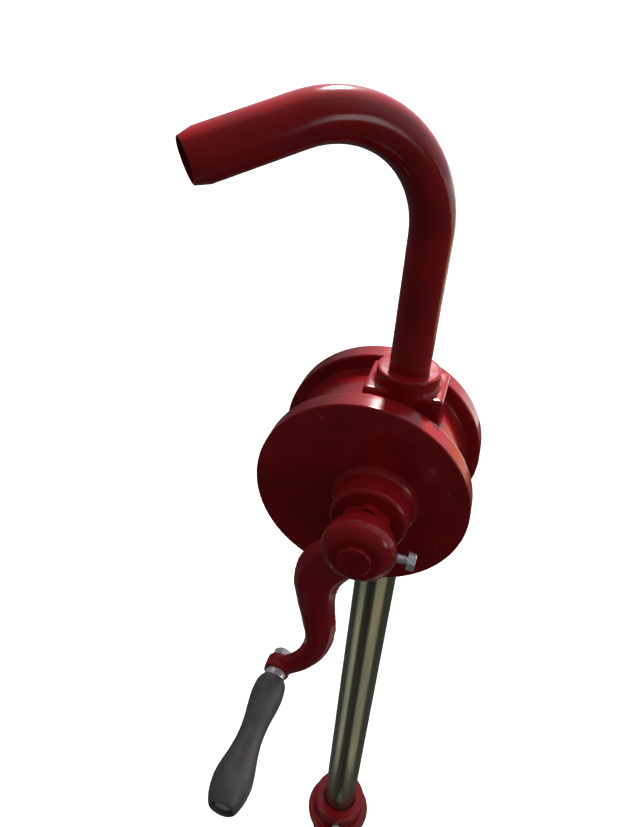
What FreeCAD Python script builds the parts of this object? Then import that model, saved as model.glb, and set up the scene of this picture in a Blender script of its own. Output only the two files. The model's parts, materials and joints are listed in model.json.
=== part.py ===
import FreeCAD, Part

import math
import os

# Hand-cranked rotary vane pump for oil drums, in millimetres
#
# The frame's origin is on the suction tube's axis, where the bung adaptor's
# washer meets the drum. Z points up, and the crank faces -Y.

V = FreeCAD.Vector
Y_AXIS = V(0, 1, 0)
Z_AXIS = V(0, 0, 1)
FRONT = V(0, -1, 0)

# Fits: radial clearance of what turns, what slides, and of a loose rubber ring
RUNNING_CLEARANCE = 0.05
SLIDING_CLEARANCE = 0.08
RING_CLEARANCE = 0.05

# Casing: two round covers on a barrel with flanges
SHAFT_HEIGHT = 520.0
CASING_X = -16.0
CASING_HALF_DEPTH = 42.1
COVER_RADIUS = 75.0
COVER_THICKNESS = 8.0
GASKET_THICKNESS = 0.8
GASKET_INSET = 0.2
FLANGE_THICKNESS = 7.5
BARREL_RADIUS = 64.0
RIM_ROUND = 1.5
BODY_HALF_DEPTH = CASING_HALF_DEPTH - COVER_THICKNESS - GASKET_THICKNESS

# Pump chamber, bored off the shaft's line
SHAFT_X = -5.0
ECCENTRICITY = 9.0
CHAMBER_X = SHAFT_X - ECCENTRICITY
CHAMBER_RADIUS = 52.0
CHAMBER_HALF_DEPTH = BODY_HALF_DEPTH + GASKET_THICKNESS
PORT_RADIUS = 10.5

# Necks above and below the barrel, on the tube's line
PAD_LENGTH = 53.0
PAD_DEPTH = 39.0
PAD_CORNER = 2.0
PAD_REACH = COVER_RADIUS
NECK_RADIUS = 21.3
NECK_REACH = 85.0
NECK_ROUND = 1.5
SOCKET_DEPTH = 22.0

# Cover screws
COVER_SCREWS = 8
SCREW_CIRCLE = 67.5
SCREW_RADIUS = 3.0
SCREW_HEAD_RADIUS = 5.6
SCREW_HEAD_DEPTH = 3.0

# Shaft, its bushes and its packing
SHAFT_RADIUS = 11.0
SHAFT_END_CHAMFER = 1.0
BUSH_RADIUS = 14.0
BUSH_LENGTH = 15.0
BUSH_END_ROOM = 3.0
FRONT_BOSS_RADIUS = 26.5
FRONT_BOSS_LENGTH = 21.0
REAR_BOSS_RADIUS = 24.0
REAR_BOSS_LENGTH = 18.0
BOSS_ROUND = 3.0
BOSS_FILLET = 5.0
PACKING_RADIUS = 14.5
PACKING_RINGS = 3
PACKING_RING_LENGTH = 3.4
GLAND_HEX = 30.0
GLAND_HEX_LENGTH = 5.5
HEX_BEVEL = 0.8

# Rotor and vanes
ROTOR_CLEARANCE = 0.3
ROTOR_END_CLEARANCE = 0.15
ROTOR_RADIUS = CHAMBER_RADIUS - ECCENTRICITY - ROTOR_CLEARANCE
ROTOR_HALF_LENGTH = CHAMBER_HALF_DEPTH - ROTOR_END_CLEARANCE
VANE_THICKNESS = 8.0
VANE_HEIGHT = 27.6
VANE_SUNK = 0.3
SLOT_FLOOR = 14.0
SLOT_OVERCUT = 1.0
VANE_SPRING_Y = 18.0
VANE_SPRING_BORE = 2.9
VANE_SPRING_DEPTH = 18.0
SPRING_RADIUS = 2.6
SPRING_WIRE = 0.8
KEY_SIZE = 5.0
KEY_LENGTH = 36.0

# Crank, in the casing's front view with the shaft as zero
HUB_RADIUS = 20.8
HUB_ROUND = 4.0
HUB_BACK_Y = -74.6
HUB_FRONT_Y = -93.5
SHAFT_END_Y = -100.5
# Stations of the swan-necked arm: sideways, upward, half width, middle Y, half thickness
ARM_STATIONS = (
    (-4.0, -6.0, 16.0, -83.5, 7.5),
    (-19.2, -23.3, 17.5, -84.0, 7.2),
    (-26.0, -43.1, 15.6, -84.5, 7.0),
    (-24.8, -62.0, 13.8, -85.0, 6.8),
    (-20.8, -84.0, 12.4, -86.0, 6.4),
    (-20.3, -104.0, 9.8, -88.0, 6.0),
    (-29.5, -123.5, 8.8, -90.5, 5.6),
    (-47.5, -139.5, 8.4, -92.0, 5.4),
)
EYE_X = -47.5
EYE_Z = -139.5
EYE_RADIUS = 9.8
EYE_ROUND = 1.5
EYE_BACK_Y = -86.0
EYE_FRONT_Y = -98.0
SET_SCREW_TILT = -12.0
SET_SCREW_RADIUS = 3.0
SET_SCREW_NECK = 10.2
SET_SCREW_HEX = 10.0
SET_SCREW_HEAD = 5.0
SET_SCREW_BITE = 1.0

# Hand grip on its bolt
GRIP_BOLT_RADIUS = 4.0
GRIP_BOLT_STAND = 2.0
GRIP_BOLT_HEX = 11.0
GRIP_BOLT_HEAD = 5.0
GRIP_NUT_HEX = 13.0
GRIP_NUT_LENGTH = 6.5
COLLAR_RADIUS = 8.0
COLLAR_LENGTH = 5.5
WASHER_THICKNESS = 1.4
GRIP_GAP = 0.3
GRIP_START_Y = EYE_FRONT_Y - COLLAR_LENGTH - GRIP_GAP
GRIP_END_Y = -199.0
GRIP_BORE = 4.1
GRIP_HEAD_POCKET = 7.5
GRIP_HEAD_DEPTH = 9.0
GRIP_END_RADIUS = 9.0
# Distance from the grip's inner end, and radius there
GRIP_PROFILE = (
    (0, 9.2), (5, 11.2), (14, 11.8), (30, 9.8), (46, 8.9), (60, 10.6), (74, 13.4), (86, 12.6),
)

# Discharge spout, a bent pipe turned towards the front left
SPOUT_RADIUS = 13.45
SPOUT_BORE = 10.5
SPOUT_BEND_START = SHAFT_HEIGHT + 172.0
SPOUT_BEND_RADIUS = 67.2
SPOUT_BEND_ANGLE = 106.0
SPOUT_RUN = 50.5
SPOUT_BEVEL_LENGTH = 8.0
SPOUT_BEVEL_DEPTH = 2.0
SPOUT_AIM = 220.0
SPOUT_SEAT_DEPTH = 18.0

# Telescopic suction tube
TUBE_RADIUS = 16.85
TUBE_WALL = 1.5
TUBE_BOTTOM = -80.0
INNER_RADIUS = 14.0
INNER_WALL = 1.2
INNER_TOP = 325.0
INNER_BOTTOM = -97.0
STOP_LENGTH = 12.0
END_GLAND_RADIUS = 21.0
END_GLAND_LENGTH = 20.0
END_GLAND_FLOOR = 6.0
END_GLAND_ROUND = 2.0
GLAND_SEAL_LENGTH = 8.0
STRAINER_RADIUS = 15.4
STRAINER_LENGTH = 38.0
STRAINER_SLEEVE = 10.0
STRAINER_FLOOR = 1.5
STRAINER_ROUND = 2.5
STRAINER_SLOTS = 8
STRAINER_SLOT_WIDTH = 3.0
STRAINER_SLOT_MARGIN = 4.0

# Bung adaptor, whose washer stands on the drum
BUNG_WASHER_THICKNESS = 2.5
BUNG_WASHER_INSET = 0.5
BUNG_FLANGE_RADIUS = 34.5
BUNG_FLANGE_TOP = 9.0
BUNG_FLANGE_ROUND = 2.0
BUNG_COLLAR_RADIUS = 28.0
BUNG_COLLAR_TOP = 33.0
BUNG_COLLAR_ROUND = 3.0
BUNG_THREAD_RADIUS = 29.8
BUNG_THREAD_LENGTH = 22.0
BUNG_THREAD_CHAMFER = 1.5
BUNG_UNDERCUT_RADIUS = 28.6
SEAL_RADIUS = 21.0
SEAL_TOP = BUNG_COLLAR_TOP - 4.0
SEAL_LENGTH = 6.0
LOCK_SCREW_HEIGHT = 17.5
LOCK_SCREW_RADIUS = 4.0
LOCK_SCREW_HEX = 13.0
LOCK_SCREW_HEAD = 6.5
LOCK_SCREW_NECK = 4.0
LOCK_SCREW_AIM = 278.0


def along_y(radius, start, end, x, z=SHAFT_HEIGHT):
    """A cylinder from one Y to another, with its axis at x, z."""
    base = V(x, min(start, end), z)
    return Part.makeCylinder(radius, abs(end - start), base, Y_AXIS)


def along_z(radius, bottom, top):
    """A cylinder on the tube's axis, from one height to another."""
    return Part.makeCylinder(radius, top - bottom, V(0, 0, bottom), Z_AXIS)


def ring_y(outer, inner, start, end, x, z=SHAFT_HEIGHT):
    """A plain ring from one Y to another, with its axis at x, z."""
    return along_y(outer, start, end, x, z).cut(along_y(inner, start, end, x, z))


def ring_z(outer, inner, bottom, top):
    """A plain ring on the tube's axis."""
    return along_z(outer, bottom, top).cut(along_z(inner, bottom, top))


def circles_at(shape, axis, value, radius):
    """The circular edges of a shape that have one radius and lie at one level."""
    found = []
    for edge in shape.Edges:
        curve = edge.Curve
        if not hasattr(curve, "Radius"):
            continue
        level = getattr(curve.Center, axis)
        if abs(level - value) < 1e-4 and abs(curve.Radius - radius) < 1e-4:
            found.append(edge)
    return found


def rounded(shape, axis, value, radius, size):
    """A shape with one of its circular edges rounded."""
    return shape.makeFillet(size, circles_at(shape, axis, value, radius))


def hexagon(across_flats, length, base, direction):
    """A hexagonal head or nut, with the corners of its far end bevelled."""
    corner = across_flats / math.sqrt(3.0)
    points = []
    for i in range(7):
        turn = math.radians(60 * i)
        points.append(V(corner * math.cos(turn), corner * math.sin(turn), 0))
    bar = Part.Face(Part.makePolygon(points)).extrude(Z_AXIS * length)
    inside = corner - HEX_BEVEL
    bar = bar.common(Part.makeCone(inside + length, inside, length))
    bar.Placement = FreeCAD.Placement(base, FreeCAD.Rotation(Z_AXIS, direction))
    return bar


# Casing

def cover_screw_places():
    """X and Z of one cover's screws, evenly round its rim."""
    places = []
    for i in range(COVER_SCREWS):
        turn = 2 * math.pi * (i + 0.5) / COVER_SCREWS
        x = CASING_X + SCREW_CIRCLE * math.sin(turn)
        z = SHAFT_HEIGHT + SCREW_CIRCLE * math.cos(turn)
        places.append((x, z))
    return places


def neck(sign):
    """A neck above (1) or below (-1) the barrel: a square pad and a round boss."""
    corner = V(-PAD_LENGTH / 2, -PAD_DEPTH / 2, SHAFT_HEIGHT)
    if sign < 0:
        corner.z -= PAD_REACH
    pad = Part.makeBox(PAD_LENGTH, PAD_DEPTH, PAD_REACH, corner)
    upright = [e for e in pad.Edges if abs(e.tangentAt(0).z) > 0.9]
    pad = pad.makeFillet(PAD_CORNER, upright)
    end = SHAFT_HEIGHT + sign * NECK_REACH
    boss = along_z(NECK_RADIUS, min(SHAFT_HEIGHT, end), max(SHAFT_HEIGHT, end))
    return pad.fuse(rounded(boss, "z", end, NECK_RADIUS, NECK_ROUND))


def pump_body():
    """The barrel with both flanges, both necks, the chamber and the ports."""
    half = BODY_HALF_DEPTH
    inner = half - FLANGE_THICKNESS
    top = SHAFT_HEIGHT + NECK_REACH
    bottom = SHAFT_HEIGHT - NECK_REACH
    body = along_y(BARREL_RADIUS, -half, half, CASING_X).fuse([neck(1), neck(-1)])
    tools = [
        along_y(CHAMBER_RADIUS, -half, half, CHAMBER_X),
        along_z(PORT_RADIUS, bottom, top),
        along_z(SPOUT_RADIUS + RUNNING_CLEARANCE, top - SOCKET_DEPTH, top),
        along_z(TUBE_RADIUS, bottom, bottom + SOCKET_DEPTH),
    ]
    for side in (-1, 1):
        flange = along_y(COVER_RADIUS, side * inner, side * half, CASING_X)
        body = body.fuse(rounded(flange, "y", side * inner, COVER_RADIUS, RIM_ROUND))
        for x, z in cover_screw_places():
            tools.append(along_y(SCREW_RADIUS, side * inner, side * half, x, z))
    return body.cut(tools).removeSplitter()


def cover_screw(side, x, z):
    """One countersunk cover screw, flush with its cover."""
    outer = side * CASING_HALF_DEPTH
    inner = side * (BODY_HALF_DEPTH - FLANGE_THICKNESS)
    shank = along_y(SCREW_RADIUS, inner, outer, x, z)
    face = V(x, outer, z)
    head = Part.makeCone(
        SCREW_HEAD_RADIUS, SCREW_RADIUS, SCREW_HEAD_DEPTH, face, FRONT * side
    )
    return shank.fuse(head)


def cover_screws(side):
    """The eight screws of one cover, each a separate solid."""
    return Part.makeCompound([cover_screw(side, x, z) for x, z in cover_screw_places()])


def cover_plate(side):
    """A cover's round plate with countersunk screw holes; side -1 is the front."""
    outer = side * CASING_HALF_DEPTH
    inner = outer - side * COVER_THICKNESS
    plate = along_y(COVER_RADIUS, inner, outer, CASING_X)
    plate = rounded(plate, "y", outer, COVER_RADIUS, RIM_ROUND)
    return plate.cut([cover_screw(side, x, z) for x, z in cover_screw_places()])


def cover_with_boss(side, radius, length):
    """A cover plate and its bearing boss, filleted where the boss grows from the plate."""
    face = side * CASING_HALF_DEPTH
    end = face + side * length
    boss = along_y(radius, face - side * COVER_THICKNESS / 2, end, SHAFT_X)
    cover = cover_plate(side).fuse(rounded(boss, "y", end, radius, BOSS_ROUND))
    return rounded(cover, "y", face, radius, BOSS_FILLET)


def front_cover():
    """The front cover, bored for the shaft's bush and as a stuffing box."""
    inner = -CHAMBER_HALF_DEPTH
    bush_room = along_y(BUSH_RADIUS, inner, packing_floor(), SHAFT_X)
    stuffing_box = along_y(PACKING_RADIUS, packing_floor(), front_boss_end(), SHAFT_X)
    cover = cover_with_boss(-1, FRONT_BOSS_RADIUS, FRONT_BOSS_LENGTH)
    return cover.cut([bush_room, stuffing_box]).removeSplitter()


def rear_cover():
    """The rear cover, whose boss is closed."""
    inner = CHAMBER_HALF_DEPTH
    bush_room = along_y(BUSH_RADIUS, inner, inner + BUSH_LENGTH + BUSH_END_ROOM, SHAFT_X)
    cover = cover_with_boss(1, REAR_BOSS_RADIUS, REAR_BOSS_LENGTH)
    return cover.cut(bush_room).removeSplitter()


def gasket(side):
    """A paper gasket between the body and one cover."""
    inner = side * BODY_HALF_DEPTH
    outer = side * CHAMBER_HALF_DEPTH
    sheet = along_y(COVER_RADIUS - GASKET_INSET, inner, outer, CASING_X)
    tools = [along_y(CHAMBER_RADIUS, inner, outer, CHAMBER_X)]
    for x, z in cover_screw_places():
        tools.append(along_y(SCREW_RADIUS, inner, outer, x, z))
    return sheet.cut(tools)


# Shaft, its bearings and its seal

def front_boss_end():
    """Y of the front boss's outer end."""
    return -CASING_HALF_DEPTH - FRONT_BOSS_LENGTH


def packing_floor():
    """Y of the stuffing box's floor, where the packing starts."""
    return -CHAMBER_HALF_DEPTH - BUSH_LENGTH


def bush(side):
    """A bronze bush pressed into one cover."""
    start = side * CHAMBER_HALF_DEPTH
    end = start + side * BUSH_LENGTH
    return ring_y(BUSH_RADIUS, SHAFT_RADIUS + RUNNING_CLEARANCE, start, end, SHAFT_X)


def shaft_packing():
    """Rings of square packing round the shaft, each a separate solid."""
    rings = []
    bore = SHAFT_RADIUS + RUNNING_CLEARANCE
    for i in range(PACKING_RINGS):
        start = packing_floor() - i * PACKING_RING_LENGTH
        rings.append(ring_y(PACKING_RADIUS, bore, start, start - PACKING_RING_LENGTH, SHAFT_X))
    return Part.makeCompound(rings)


def packing_gland():
    """The hexagonal gland nut that presses on the packing."""
    start = packing_floor() - PACKING_RINGS * PACKING_RING_LENGTH
    spigot = along_y(PACKING_RADIUS, start, front_boss_end(), SHAFT_X)
    base = V(SHAFT_X, front_boss_end(), SHAFT_HEIGHT)
    head = hexagon(GLAND_HEX, GLAND_HEX_LENGTH, base, FRONT)
    bore = along_y(SHAFT_RADIUS + RUNNING_CLEARANCE, start, HUB_BACK_Y, SHAFT_X)
    return spigot.fuse(head).cut(bore).removeSplitter()


def rotor_key():
    """The key that carries the shaft's turning to the rotor."""
    inner = SHAFT_X + SHAFT_RADIUS - KEY_SIZE / 2
    corner = V(inner, -KEY_LENGTH / 2, SHAFT_HEIGHT - KEY_SIZE / 2)
    return Part.makeBox(KEY_SIZE, KEY_LENGTH, KEY_SIZE, corner)


def drive_shaft():
    """The shaft from the rear bush to the crank, with a keyway for the rotor."""
    back = CHAMBER_HALF_DEPTH + BUSH_LENGTH
    shaft = along_y(SHAFT_RADIUS, back, SHAFT_END_Y, SHAFT_X)
    ends = circles_at(shaft, "y", back, SHAFT_RADIUS)
    ends += circles_at(shaft, "y", SHAFT_END_Y, SHAFT_RADIUS)
    return shaft.makeChamfer(SHAFT_END_CHAMFER, ends).cut(rotor_key())


# Rotor and vanes

def rotor():
    """The slotted drum that carries the vanes."""
    half = ROTOR_HALF_LENGTH
    drum = ring_y(ROTOR_RADIUS, SHAFT_RADIUS, -half, half, SHAFT_X)
    width = VANE_THICKNESS + 2 * SLIDING_CLEARANCE
    depth = ROTOR_RADIUS + SLOT_OVERCUT - SLOT_FLOOR
    for floor in (SLOT_FLOOR, -SLOT_FLOOR - depth):
        corner = V(SHAFT_X - width / 2, -half, SHAFT_HEIGHT + floor)
        drum = drum.cut(Part.makeBox(width, 2 * half, depth, corner))
    return drum.cut(rotor_key())


def vane(sign):
    """A vane drawn into its slot, above (1) or below (-1) the shaft, bored for its springs."""
    tip = ROTOR_RADIUS - VANE_SUNK
    root = SHAFT_HEIGHT + sign * (tip - VANE_HEIGHT)
    half = VANE_THICKNESS / 2
    back = -ROTOR_HALF_LENGTH
    up = V(0, 0, sign * (VANE_HEIGHT - half))
    left = V(SHAFT_X - half, back, root)
    right = V(SHAFT_X + half, back, root)
    crest = V(SHAFT_X, back, SHAFT_HEIGHT + sign * tip)
    outline = Part.Wire([
        Part.makeLine(left, left + up),
        Part.Arc(left + up, crest, right + up).toShape(),
        Part.makeLine(right + up, right),
        Part.makeLine(right, left),
    ])
    blade = Part.Face(outline).extrude(Y_AXIS * 2 * ROTOR_HALF_LENGTH)
    bores = []
    for y in (-VANE_SPRING_Y, VANE_SPRING_Y):
        base = V(SHAFT_X, y, root)
        bores.append(
            Part.makeCylinder(VANE_SPRING_BORE, VANE_SPRING_DEPTH, base, Z_AXIS * sign)
        )
    return blade.cut(bores)


def vane_springs():
    """The springs between the slots' floors and the vanes, as sleeves of their real width."""
    springs = []
    root = ROTOR_RADIUS - VANE_SUNK - VANE_HEIGHT
    length = root + VANE_SPRING_DEPTH - SLOT_FLOOR
    for sign in (-1, 1):
        for y in (-VANE_SPRING_Y, VANE_SPRING_Y):
            base = V(SHAFT_X, y, SHAFT_HEIGHT + sign * SLOT_FLOOR)
            sleeve = Part.makeCylinder(SPRING_RADIUS, length, base, Z_AXIS * sign)
            core = Part.makeCylinder(SPRING_RADIUS - SPRING_WIRE, length, base, Z_AXIS * sign)
            springs.append(sleeve.cut(core))
    return Part.makeCompound(springs)


# Crank

def arm_section(index):
    """An oval section of the crank arm, square to the arm's line at one station."""
    x, z, half_width, y, half_thickness = ARM_STATIONS[index]
    before = ARM_STATIONS[max(index - 1, 0)]
    after = ARM_STATIONS[min(index + 1, len(ARM_STATIONS) - 1)]
    way = V(after[0] - before[0], 0, after[1] - before[1]).normalize()
    centre = V(SHAFT_X + x, y, SHAFT_HEIGHT + z)
    wide = centre + way.cross(Y_AXIS) * half_width
    thick = centre + Y_AXIS * half_thickness
    return Part.Wire([Part.Ellipse(wide, thick, centre).toShape()])


def eye_centre():
    """X and Z of the crank's eye and of the grip on it."""
    return SHAFT_X + EYE_X, SHAFT_HEIGHT + EYE_Z


def crank_arm():
    """The cast crank: hub, swan-necked arm and eye."""
    arm = Part.makeLoft([arm_section(i) for i in range(len(ARM_STATIONS))], True, False)
    hub = along_y(HUB_RADIUS, HUB_BACK_Y, HUB_FRONT_Y, SHAFT_X)
    hub = rounded(hub, "y", HUB_FRONT_Y, HUB_RADIUS, HUB_ROUND)
    x, z = eye_centre()
    eye = along_y(EYE_RADIUS, EYE_BACK_Y, EYE_FRONT_Y, x, z)
    eye = rounded(eye, "y", EYE_FRONT_Y, EYE_RADIUS, EYE_ROUND)
    shaft_hole = along_y(SHAFT_RADIUS, HUB_BACK_Y, SHAFT_END_Y, SHAFT_X)
    bolt_hole = along_y(GRIP_BOLT_RADIUS, EYE_BACK_Y, EYE_FRONT_Y, x, z)
    screw_hole = set_screw_shank()
    return arm.fuse([hub, eye]).cut([shaft_hole, bolt_hole, screw_hole])


def set_screw_axis():
    """The hub's centre and the way that its set screw points."""
    tilt = math.radians(SET_SCREW_TILT)
    centre = V(SHAFT_X, (HUB_BACK_Y + HUB_FRONT_Y) / 2, SHAFT_HEIGHT)
    return centre, V(math.cos(tilt), 0, math.sin(tilt))


def set_screw_shank():
    """The set screw's shank, from the shaft to its head."""
    centre, out = set_screw_axis()
    start = SHAFT_RADIUS - SET_SCREW_BITE
    length = HUB_RADIUS + SET_SCREW_NECK - start
    shank = Part.makeCylinder(SET_SCREW_RADIUS, length, centre + out * start, out)
    return shank.cut(along_y(SHAFT_RADIUS, HUB_BACK_Y, HUB_FRONT_Y, SHAFT_X))


def crank_set_screw():
    """The hexagon-headed screw that clamps the crank to the shaft."""
    centre, out = set_screw_axis()
    seat = centre + out * (HUB_RADIUS + SET_SCREW_NECK)
    return set_screw_shank().fuse(hexagon(SET_SCREW_HEX, SET_SCREW_HEAD, seat, out))


# Hand grip

def grip_nut():
    """The nut that holds the grip's bolt behind the crank's eye."""
    x, z = eye_centre()
    nut = hexagon(GRIP_NUT_HEX, GRIP_NUT_LENGTH, V(x, EYE_BACK_Y, z), Y_AXIS)
    return nut.cut(along_y(GRIP_BOLT_RADIUS, EYE_BACK_Y, EYE_BACK_Y + GRIP_NUT_LENGTH, x, z))


def grip_collar():
    """The plated spacer between the crank's eye and the grip."""
    x, z = eye_centre()
    end = EYE_FRONT_Y - COLLAR_LENGTH
    return ring_y(COLLAR_RADIUS, GRIP_BOLT_RADIUS, EYE_FRONT_Y, end, x, z)


def grip_head_seat():
    """Y of the face that the grip bolt's head presses on."""
    return GRIP_END_Y + GRIP_HEAD_DEPTH - RING_CLEARANCE - WASHER_THICKNESS


def grip_bolt():
    """The bolt that the grip turns on, from the nut to the head sunk in the grip's end."""
    x, z = eye_centre()
    back = EYE_BACK_Y + GRIP_NUT_LENGTH + GRIP_BOLT_STAND
    shank = along_y(GRIP_BOLT_RADIUS, back, grip_head_seat(), x, z)
    head = hexagon(GRIP_BOLT_HEX, GRIP_BOLT_HEAD, V(x, grip_head_seat(), z), FRONT)
    return shank.fuse(head)


def grip_washer():
    """The washer under the grip bolt's head."""
    x, z = eye_centre()
    seat = grip_head_seat()
    outer = GRIP_HEAD_POCKET - GRIP_GAP
    return ring_y(outer, GRIP_BOLT_RADIUS, seat + WASHER_THICKNESS, seat, x, z)


def hand_grip():
    """The moulded grip: a shoulder by the crank, a waist and a full belly."""
    x, z = eye_centre()
    points = [V(x + radius, GRIP_START_Y - away, z) for away, radius in GRIP_PROFILE]
    points.append(V(x + GRIP_END_RADIUS, GRIP_END_Y, z))
    side = Part.BSplineCurve()
    side.interpolate(points)
    start = V(x, GRIP_START_Y, z)
    end = V(x, GRIP_END_Y, z)
    outline = Part.Wire([
        Part.makeLine(start, points[0]),
        side.toShape(),
        Part.makeLine(points[-1], end),
        Part.makeLine(end, start),
    ])
    grip = Part.Face(outline).revolve(start, Y_AXIS, 360)
    bore = along_y(GRIP_BORE, GRIP_START_Y, GRIP_END_Y, x, z)
    pocket = along_y(GRIP_HEAD_POCKET, GRIP_END_Y, GRIP_END_Y + GRIP_HEAD_DEPTH, x, z)
    return grip.cut([bore, pocket])


# Discharge spout

def spout_bend_end():
    """The end of the spout's bend and the way that its straight run points."""
    turn = math.radians(SPOUT_BEND_ANGLE)
    x = SPOUT_BEND_RADIUS * (1 - math.cos(turn))
    z = SPOUT_BEND_START + SPOUT_BEND_RADIUS * math.sin(turn)
    return V(x, 0, z), V(math.sin(turn), 0, math.cos(turn))


def spout_bar(radius, bottom, run):
    """A round bar along the spout's line: up, over the bend and down its run."""
    leg = along_z(radius, bottom, SPOUT_BEND_START)
    start = V(0, 0, SPOUT_BEND_START)
    disc = Part.Face(Part.Wire([Part.Circle(start, Z_AXIS, radius).toShape()]))
    hinge = V(SPOUT_BEND_RADIUS, 0, SPOUT_BEND_START)
    bend = disc.revolve(hinge, Y_AXIS, SPOUT_BEND_ANGLE)
    end, way = spout_bend_end()
    return leg.fuse([bend, Part.makeCylinder(radius, run, end, way)])


def spout_seat():
    """Z of the spout's foot in the body's socket."""
    return SHAFT_HEIGHT + NECK_REACH - SPOUT_SEAT_DEPTH


def discharge_spout():
    """The goose-necked spout, bevelled at its mouth."""
    end, way = spout_bend_end()
    bevel_start = end + way * SPOUT_RUN
    mouth_radius = SPOUT_RADIUS - SPOUT_BEVEL_DEPTH
    bevel = Part.makeCone(SPOUT_RADIUS, mouth_radius, SPOUT_BEVEL_LENGTH, bevel_start, way)
    outside = spout_bar(SPOUT_RADIUS, spout_seat(), SPOUT_RUN).fuse(bevel)
    spout = outside.cut(spout_bar(SPOUT_BORE, spout_seat(), SPOUT_RUN + SPOUT_BEVEL_LENGTH))
    spout.rotate(V(0, 0, 0), Z_AXIS, SPOUT_AIM)
    return spout


def spout_seal():
    """The sealing ring under the spout's foot."""
    floor = SHAFT_HEIGHT + NECK_REACH - SOCKET_DEPTH
    top = spout_seat() - RING_CLEARANCE
    return ring_z(SPOUT_RADIUS - RING_CLEARANCE, PORT_RADIUS, floor, top)


# Suction tube

def suction_tube_outer():
    """The plated outer tube, from the body's socket to its end gland."""
    top = SHAFT_HEIGHT - NECK_REACH + SOCKET_DEPTH
    return ring_z(TUBE_RADIUS, TUBE_RADIUS - TUBE_WALL, TUBE_BOTTOM, top)


def tube_end_gland():
    """The nut on the outer tube's lower end, which guides the inner tube."""
    bottom = TUBE_BOTTOM - END_GLAND_FLOOR
    top = bottom + END_GLAND_LENGTH
    nut = along_z(END_GLAND_RADIUS, bottom, top)
    nut = rounded(nut, "z", top, END_GLAND_RADIUS, END_GLAND_ROUND)
    tube_room = along_z(TUBE_RADIUS, TUBE_BOTTOM, top)
    return nut.cut([tube_room, along_z(INNER_RADIUS + SLIDING_CLEARANCE, bottom, TUBE_BOTTOM)])


def gland_seal():
    """The seal between the two tubes, above the end gland's floor."""
    outer = TUBE_RADIUS - TUBE_WALL
    inner = INNER_RADIUS + SLIDING_CLEARANCE
    return ring_z(outer, inner, TUBE_BOTTOM, TUBE_BOTTOM + GLAND_SEAL_LENGTH)


def suction_tube_inner():
    """The inner tube, which draws out of the outer one."""
    return ring_z(INNER_RADIUS, INNER_RADIUS - INNER_WALL, INNER_BOTTOM, INNER_TOP)


def inner_tube_stop():
    """The collar on the inner tube's upper end, which keeps it in the outer one."""
    outer = TUBE_RADIUS - TUBE_WALL - SLIDING_CLEARANCE
    return ring_z(outer, INNER_RADIUS, INNER_TOP - STOP_LENGTH, INNER_TOP)


def foot_strainer():
    """The slotted cup on the suction tube's foot."""
    top = INNER_BOTTOM + STRAINER_SLEEVE
    bottom = top - STRAINER_LENGTH
    cup = along_z(STRAINER_RADIUS, bottom, top)
    cup = rounded(cup, "z", bottom, STRAINER_RADIUS, STRAINER_ROUND)
    tools = [
        along_z(INNER_RADIUS, INNER_BOTTOM, top),
        along_z(INNER_RADIUS - INNER_WALL, bottom + STRAINER_FLOOR, INNER_BOTTOM),
    ]
    slot_length = INNER_BOTTOM - bottom - 2 * STRAINER_SLOT_MARGIN
    for i in range(STRAINER_SLOTS):
        corner = V(INNER_RADIUS / 2, -STRAINER_SLOT_WIDTH / 2, bottom + STRAINER_SLOT_MARGIN)
        slot = Part.makeBox(STRAINER_RADIUS, STRAINER_SLOT_WIDTH, slot_length, corner)
        slot.rotate(V(0, 0, 0), Z_AXIS, i * 360.0 / STRAINER_SLOTS)
        tools.append(slot)
    return cup.cut(tools)


# Bung adaptor

def lock_screw_way():
    """The way the adaptor's lock screw points, out of the collar."""
    turn = math.radians(LOCK_SCREW_AIM)
    return V(math.cos(turn), math.sin(turn), 0)


def lock_screw_bar(radius):
    """A bar on the lock screw's axis, from beside the tube to its head."""
    out = lock_screw_way()
    inner = TUBE_RADIUS + 2 * SLIDING_CLEARANCE
    start = out * inner + V(0, 0, LOCK_SCREW_HEIGHT)
    length = BUNG_COLLAR_RADIUS + LOCK_SCREW_NECK - inner
    return Part.makeCylinder(radius, length, start, out)


def tube_lock_screw():
    """The hexagon-headed screw that clamps the tube in the adaptor."""
    out = lock_screw_way()
    start = out * (BUNG_COLLAR_RADIUS + LOCK_SCREW_NECK) + V(0, 0, LOCK_SCREW_HEIGHT)
    shank = lock_screw_bar(LOCK_SCREW_RADIUS)
    return shank.fuse(hexagon(LOCK_SCREW_HEX, LOCK_SCREW_HEAD, start, out))


def bung_adaptor():
    """The threaded adaptor that stands in the drum's bung and clamps the tube."""
    base = BUNG_WASHER_THICKNESS
    low = -BUNG_THREAD_LENGTH
    flange = along_z(BUNG_FLANGE_RADIUS, base, BUNG_FLANGE_TOP)
    flange = rounded(flange, "z", BUNG_FLANGE_TOP, BUNG_FLANGE_RADIUS, BUNG_FLANGE_ROUND)
    collar = along_z(BUNG_COLLAR_RADIUS, base, BUNG_COLLAR_TOP)
    collar = rounded(collar, "z", BUNG_COLLAR_TOP, BUNG_COLLAR_RADIUS, BUNG_COLLAR_ROUND)
    thread = along_z(BUNG_THREAD_RADIUS, low, 0)
    rim = circles_at(thread, "z", low, BUNG_THREAD_RADIUS)
    thread = thread.makeChamfer(BUNG_THREAD_CHAMFER, rim)
    undercut = along_z(BUNG_UNDERCUT_RADIUS, low, base)
    tools = [
        along_z(TUBE_RADIUS + SLIDING_CLEARANCE, low, BUNG_COLLAR_TOP),
        along_z(SEAL_RADIUS, SEAL_TOP - SEAL_LENGTH, SEAL_TOP),
        lock_screw_bar(LOCK_SCREW_RADIUS + RUNNING_CLEARANCE),
    ]
    return flange.fuse([collar, thread, undercut]).cut(tools)


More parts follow.
